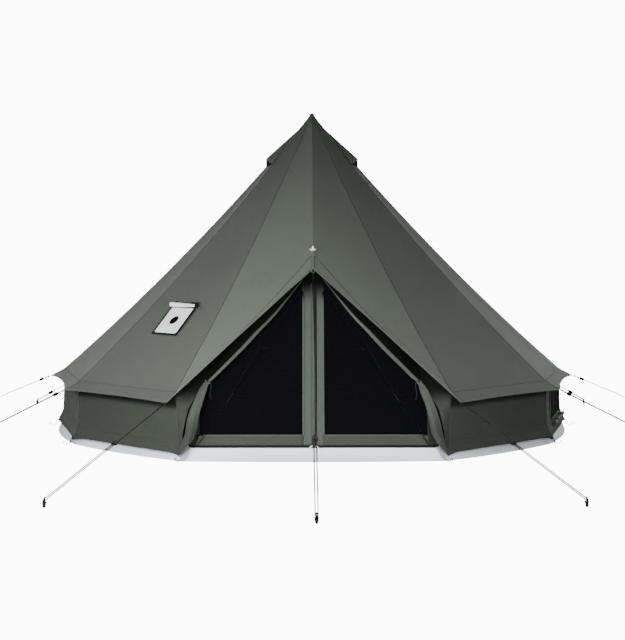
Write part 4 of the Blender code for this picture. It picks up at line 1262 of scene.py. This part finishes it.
def build_jack_rolls(centre, side, up, out):
    """The white flue cover rolled up above the panel, and the green rain flap rolled above that."""
    def roll(name, middle, radius, width, finish, twist, taper=0.0):
        def reach(share, angle):
            wind = radius * (1 + 0.07 * sin(angle + twist) + 0.04 * ripple((share * 8, angle, 1), 1))
            wind *= pinched(share, 0.2, 0.8, 0.10)
            return wind * (1 - taper * share) * max(1 - 0.75 * exp(-share / 0.012), 0.3)

        return rolled_up(name, middle, side, width, up, out, 32, finish, reach)

    rest = centre + up * (JACK_LENGTH / 2 + 0.0165)
    cover = rest - up * 0.022 + out * 0.0255 - side * 0.004
    white = roll("jack_cover_roll", cover, 0.0178, 0.262, "jack_cloth", 0.5, 0.42)
    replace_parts(white, "stove_jack_cover")
    roll("jack_flap_roll", rest + out * 0.015, 0.0095, 0.270, "wall_canvas", 2.0)
    parts = []
    for x in (-0.085, 0.085):
        loop = circle(rest + out * 0.017 + side * x, up, out, 0.0130, 16)
        parts.append(tube(f"jack_strap_{x}", loop, STRAP_RADIUS, "black_webbing", closed=True, sides=6))
    bunch = rest + side * 0.128 + out * 0.018 - up * 0.008
    for k in range(6):
        spot = bunch + side * 0.007 * (k - 2.5) + up * 0.008 * sin(2.3 * k) + out * 0.003 * cos(1.7 * k)
        reach = up * 0.018 + side * 0.010 * sin(1.9 * k)
        parts.append(box_between(f"jack_knot_{k}", spot - reach, spot + reach, 0.012, 0.010, out, "black_webbing"))
    joined("jack_straps", parts)


# Roof vents

VENT_STEPS = 16
VENT_TOP = 0.105 / EAVE_RADIUS
VENT_LIP = 0.345 / EAVE_RADIUS


def build_vent(side, label):
    """A hood over a side hip, sewn down above and propped open below, with black mesh under it."""
    index = 3 if side > 0 else 9
    tip = roof_point(side * 90, 0.356) + UP * 0.055
    top = profile_point(index, VENT_TOP)

    def place(j, across):
        """The panel that the hood's line number j is over, and how far across the panel it is."""
        return (index, across) if j >= 0 else (index - 1, 1 - across)

    columns = []
    for j in range(-VENT_STEPS, VENT_STEPS + 1):
        share = abs(j) / VENT_STEPS
        column = []
        for t in spread(0, 1, VENT_STEPS):
            r = VENT_TOP + (VENT_LIP - VENT_TOP) * t
            panel, s = place(j, share * t)
            stand = canopy_normal(panel, s, max(r, 0.05)) * (0.0012 + 0.0045 * t)
            lift = (top.lerp(tip, t) - profile_point(index, r)) * (1 - share) ** 1.15
            column.append(canopy_point(panel, s, r) + stand + lift)
        columns.append(column)
    hood = cloth(f"vent_hood_cloth_{label}", columns, "canvas", creases=[VENT_STEPS], solid=DOUBLE_CLOTH)
    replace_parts(hood, f"vent_hood_{label}")
    lip = [column[-1] for column in columns]
    normals = [
        (column[-1] - column[-2]).cross(lip[min(k + 1, len(lip) - 1)] - lip[max(k - 1, 0)]).normalized()
        for k, column in enumerate(columns)
    ]
    ribbon(f"vent_lip_{label}", lip, normals, 0.009, 0.0016, "binding")
    gauze = []
    for j, point in enumerate(lip, -VENT_STEPS):
        share = abs(j) / VENT_STEPS
        panel, s = place(j, share)
        low = canopy_point(panel, s, VENT_LIP * (1.0 + 0.045 * (1 - share))) - UP * 0.004
        gauze.append(spread(point.lerp(low, 0.03), low, 6))
    screen = cloth(f"vent_gauze_{label}", gauze, "vent_mesh", solid=THIN_CLOTH)


# Entrance fittings

FERRULE = (
    (0.0085, 0), (0.0085, 0.004), (0.0072, 0.007), (0.0066, 0.018), (0.0060, 0.024), (0.0030, 0.026)
)


def build_pin():
    """The white ferrule above the washer, and the doubled canvas that the pin draws up against it."""
    base = PIN_POINT + UP * 0.016
    loft("pin_ferrule", [circle(base + UP * h, ACROSS, BACK, r, 20) for r, h in FERRULE], "white_plastic")
    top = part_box("apex_washer")[0][2] + 0.004
    rings = []
    for share in spread(0, 1, 8):
        radius = 0.0075 + 0.020 * share ** 1.6
        middle = Vector((0, PIN_POINT.y - 0.004 * share, top - 0.040 * share))
        rings.append(circle(middle, ACROSS, BACK, lambda angle: radius * (1 + 0.06 * sin(5 * angle) * share), 28))
    loft("pin_patch", rings, "front_canvas")


def build_awning_loop():
    """The webbing loop under the awning's point, which the front rope is tied to."""
    top = AWNING_POINT - UP * 0.003 + Vector((0, 0.002, 0))
    angles = spread(0, pi, 16)
    path = [top + Vector((0.009 * cos(angle), 0, -0.026 * sin(angle) ** 0.6)) for angle in angles]
    normals = [Vector((cos(angle), 0, -sin(angle) - 0.1)).normalized() for angle in angles]
    ribbon("awning_loop", path, normals, 0.020, 0.0020, "webbing")


# Guy lines. The ropes are drawn thicker than the CAD's 4 mm, so that they show from far away.

ROPE_SEEN = 0.004
KNOT_STRAND = 0.0030
WRAP_STRAND = 0.0040
ROPE_START = 0.004


def guy_lines():
    """(label, anchor, ground point, runner's distance), as in the CAD."""
    found = []
    for index, azimuth in enumerate(EAVE_HIPS):
        count = min(index, len(EAVE_HIPS) - 1 - index) + 1
        label = "back" if azimuth == 180 else f"right_{count}" if azimuth < 180 else f"left_{count}"
        away, runner_at = {1: DOOR_STAKE, 4: REAR_STAKE}.get(count, SIDE_STAKE)
        turn = azimuth
        if count == 1:
            turn = DOOR_STAKE_ANGLE if azimuth < 180 else -DOOR_STAKE_ANGLE
        found.append((label, polar(TIP_RADIUS + ROPE_START, azimuth, TIP_HEIGHT), polar(away, turn, 0), runner_at))
    anchor = AWNING_POINT - UP * 0.008 - BACK * ROPE_START
    found.append(("front", anchor, polar(FRONT_STAKE[0], 0, 0), FRONT_STAKE[1]))
    return found


def build_guy(label, anchor, stake, runner_at):
    """A doubled rope with its knots, and the turns of it that are wound round its runner."""
    way = level(stake - anchor)
    upright = UP * cos(STAKE_LEAN) - way * sin(STAKE_LEAN)
    half = STRAND_GAP / 2
    loop = stake + UP * STAKE_THICKNESS / 2 * sin(STAKE_LEAN) + upright * LOOP_HEIGHT
    run = (loop + UP.cross(way) * half - anchor).normalized()
    across = UP.cross(run).normalized()
    high = run.cross(across)
    runner = anchor + run * runner_at - across * half
    bend = [loop + (across * cos(angle) + run * sin(angle)) * half for angle in spread(0, pi, 12)]
    tail = runner - across * half - run * (RUNNER_LENGTH / 2 + ROPE_TAIL)
    path = spread(anchor, bend[0], 8)[:-1] + bend + spread(bend[-1], tail, 4)[1:]
    parts = [tube(f"rope_{label}", path, ROPE_SEEN, "rope")]
    for spot, size in ((anchor + run * 0.012, 0.0075), (tail + run * 0.003, 0.0060)):
        turns = [
            spot + (across * cos(angle) + high * sin(angle)) * size * 0.7 + run * (angle / (4 * pi) - 0.5) * 0.010
            for angle in spread(0, 4 * pi, 24)
        ]
        parts.append(tube(f"knot_{label}", turns, KNOT_STRAND, "rope", sides=6))
    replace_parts(joined(f"rope_{label}", parts), f"guy_rope_{label}")
    wraps = []
    for place in (-0.011, 0.0, 0.011):
        ring = circle(runner + run * place, across * 0.0158, high * 0.0095, 1, 20)
        wraps.append(tube(f"runner_wrap_{label}_{place}", ring, WRAP_STRAND, "rope", f"runner_{label}", 8, True))
    joined(f"runner_wrap_{label}", wraps)


def build_tip_loop(index):
    """The webbing tab at a hip's tip that its rope is tied to."""
    azimuth = EAVE_HIPS[index - 1]
    tip, out = polar(TIP_RADIUS, azimuth, TIP_HEIGHT), polar(1, azimuth, 0)
    path, normals = [], []
    for angle in spread(0, pi, 12):
        path.append(tip + out * (0.008 * sin(angle) - 0.006) - UP * (0.0055 * (1 - cos(angle)) - 0.001))
        normals.append((out * sin(angle) + UP * cos(angle)).normalized())
    return ribbon(f"tip_loop_{index}", path, normals, 0.016, 0.0018, "black_webbing")


# Base pegs and straps

# A peg's hook past its head, as (out, up)
PEG_HOOK = ((0.012, 0.003), (0.018, -0.006), (0.016, -0.016))
# The strap at a door's corner, for the right one
DOOR_STRAP = ((0.845, -1.760, 0.096), (0.862, -1.785, 0.058), (0.880, -1.806, 0.026))


def build_base_corner(index):
    """What holds a corner down: a strap from the wall's hem and the groundsheet's tab, on a wire peg."""
    azimuth = BASE_HIPS[index]
    out = polar(1, azimuth, 0)
    ground = polar(BASE_RADIUS + 0.040, azimuth, 0.006)
    stem = ground + out * 0.012 - UP * 0.004
    head = stem + UP * 0.026 + out * 0.016
    hook = [stem, stem.lerp(head, 0.6), head] + [head + out * x + UP * z for x, z in PEG_HOOK]
    tube(f"base_peg_{index}", smooth_path(hook, 5), 0.0030, "peg_steel", sides=8)
    if index in (0, SIDES - 2):
        turn = 1 if index == 0 else -1
        path = [Vector((turn * x, y, z)) for x, y, z in DOOR_STRAP] + [ground]
        wide = 0.046
    else:
        start = polar(BASE_RADIUS, azimuth, 0.004) + UP * 0.046 - out * 0.018
        path = [start, start.lerp(ground, 0.4) + out * 0.004, start.lerp(ground, 0.7) + out * 0.002, ground]
        wide = 0.040
        hem = wall_hip(index, WALL_HEM_HEIGHT)
        strap = [hem + out * 0.003 + UP * 0.004, hem.lerp(ground, 0.5) + out * 0.006, ground]
        normal, widths = (out + UP * 0.3).normalized(), [0.010, 0.012, 0.010]
        ribbon(f"base_strap_{index}", strap, normal, widths, 0.0016, "black_webbing")
    line = smooth_path(path, 5)

    def web_point(x, t, spot):
        crumple = 0.0035 * sin(x * 13 + 4 * t) * sin(pi * t)
        return spot + UP.cross(out) * x * wide * (1 - 0.62 * t) + out * (0.003 + crumple)

    shares = spread(0, 1, len(line) - 1)
    web = [[web_point(x, t, spot) for t, spot in zip(shares, line)] for x in spread(-0.5, 0.5, 8)]
    cloth(f"base_tab_{index}", web, "clear_strap", solid=THIN_CLOTH)


def build_door_foot():
    """The dark zip along the doors' foot, over the groundsheet's band, and a white cord bow in its middle."""
    for side, label in DOORS:
        bow = [
            (0.004 + side * 0.012, 0.0965, 0.012), (0.004 + side * 0.025, 0.089, 0.015),
            (0.004 + side * 0.034, 0.072, 0.012),
        ]
        path = [door_point(*spot) for spot in smooth_route(bow, 5)]
        tube(f"foot_bow_{label}", path, 0.0036, "white_plastic", sides=8)
    path = [door_point(across, 0.0942, 0.0060) for across in spread(-0.845, 0.845, 24)]
    ribbon("door_foot_zip", path, DOOR_OUT, 0.017, 0.0016, "black_webbing")


# Scene

# Name, place, target, power, width
LIGHTS = (
    ("left high", (-6, 1, 4.5), (-1, 0, 1.0), 128, 2.5),
    ("right high", (6, 1, 4.5), (1, 0, 1.0), 70, 2.5),
    ("near left", (-1.4, -3.9, 1.3), (-0.5, -0.8, 1.3), 110, 1.2),
    ("near right", (0.8, -4.2, 1.0), (0.4, -0.8, 1.4), 94, 1.2),
    ("near side", (-3.6, -4.0, 1.6), (-1, -0.5, 0.9), 90, 1.5),
    ("left rim", (-5, 3, 2.5), (-1, 0, 1.0), 48, 2.2),
    ("right rim", (5, 3, 2.5), (1, 0, 1.0), 90, 2.2),
    ("right low", (6, 0.8, 0.9), (1, 0, 1.0), 38, 2.2),
    ("back", (0, 6.5, 3.2), (0, 1, 1.0), 480, 2.5),
)
WORLD_STRENGTH = 0.02
STAGE_SEEN = 12.0
FLOOR_REACH = 60
FLOOR_COLOUR = (0.8, 0.8, 0.8, 1)
FLOOR_ROUGHNESS = 0.9


def area_light(name, place, target, power, size):
    data = bpy.data.lights.new(name, "AREA")
    data.energy = power
    data.shape = "RECTANGLE"
    data.size = data.size_y = size
    light = bpy.data.objects.new(name, data)
    light.location = place
    light.rotation_euler = (Vector(target) - light.location).to_track_quat("-Z", "Y").to_euler()
    light.visible_camera = False
    bpy.context.scene.collection.objects.link(light)


def build_stage():
    """A white floor and surroundings. Both look brighter to the camera than the light that they give."""
    data = bpy.data.meshes.new("floor")
    corners = [(x * FLOOR_REACH, y * FLOOR_REACH, 0) for x, y in ((-1, -1), (1, -1), (1, 1), (-1, 1))]
    data.from_pydata(corners, [], [(0, 1, 2, 3)])
    floor = bpy.data.objects.new("floor", data)
    floor.location.z = -0.001
    bpy.context.scene.collection.objects.link(floor)
    made = bpy.data.materials.new("pale floor")
    made.use_nodes = True
    tree = made.node_tree
    shader = tree.nodes["Principled BSDF"]
    shader.inputs["Base Color"].default_value = FLOOR_COLOUR
    shader.inputs["Roughness"].default_value = FLOOR_ROUGHNESS
    glow = add_node(tree, "Emission", {"Strength": STAGE_SEEN})["Emission"]
    seen = add_node(tree, "LightPath", {})["Is Camera Ray"]
    either = add_node(tree, "MixShader", {"Fac": seen, 1: shader.outputs["BSDF"], 2: glow})["Shader"]
    tree.links.new(either, tree.nodes["Material Output"].inputs["Surface"])
    data.materials.append(made)

    world = bpy.data.worlds.new("studio")
    bpy.context.scene.world = world
    world.use_nodes = True
    tree = world.node_tree
    back = tree.nodes["Background"].inputs
    back["Color"].default_value = (1, 1, 1, 1)
    seen = add_node(tree, "LightPath", {})["Is Camera Ray"]
    strengths = {"To Min": WORLD_STRENGTH, "To Max": STAGE_SEEN, "Value": seen}
    tree.links.new(add_node(tree, "MapRange", strengths)["Result"], back["Strength"])
    for light in LIGHTS:
        area_light(*light)


def build_camera():
    """The photograph's camera, fitted to it: 11.8 m away, 1.6 m up and 3.7 degrees down."""
    data = bpy.data.cameras.new("camera")
    data.sensor_fit = "AUTO"
    data.sensor_width = 36
    data.lens = 84.32
    data.shift_x = 0.0009
    camera = bpy.data.objects.new("camera", data)
    camera.location = (-0.078, -11.82, 1.602)
    camera.rotation_euler = (radians(90 - 3.68), 0, radians(-0.38))
    bpy.context.scene.collection.objects.link(camera)
    bpy.context.scene.camera = camera


def finish_cad_nodes():
    """Materials for the CAD's rigid pieces, and softer edges for the runners and stakes."""
    slots = {row["node"]: row["material_slot"] for row in frame["record"]["subparts"]}
    for name, node in frame["nodes"].items():
        if node.hide_render:
            continue
        node.data.materials.clear()
        node.data.materials.append(FINISHES.get(slots[name]))
        if slots[name] == "black_plastic" and name.startswith("guy_"):
            soften = node.modifiers.new("Soft edges", "BEVEL")
            soften.width = 0.0012
            soften.segments = 2
            soften.limit_method = "ANGLE"


def build_all():
    build_stage()
    build_camera()
    canopy = build_canopy()
    cut_with_box(canopy, "flue_cutter", jack_frame(), (0.085, 0.085, 0.05))
    build_hip_seams()
    build_level_seams()
    build_front_hem()
    build_ridge_webbing()
    build_peak_cap()
    wall = build_wall()
    build_wall_trim()
    tray, trim = build_groundsheet()
    build_window(wall)
    for side, label in DOORS:
        for build in (build_leaf, build_side, build_curtain, build_roll, build_tie, build_vent):
            build(side, label)
    build_door_foot()
    build_zip()
    build_zip_slider()
    build_stove_jack()
    build_pin()
    build_awning_loop()
    for line in guy_lines():
        build_guy(*line)
    joined("tip_loops", [build_tip_loop(index) for index in range(1, SIDES)])
    for index in range(SIDES - 1):
        build_base_corner(index)
    finish_cad_nodes()


build_all()
bpy.context.view_layer.update()
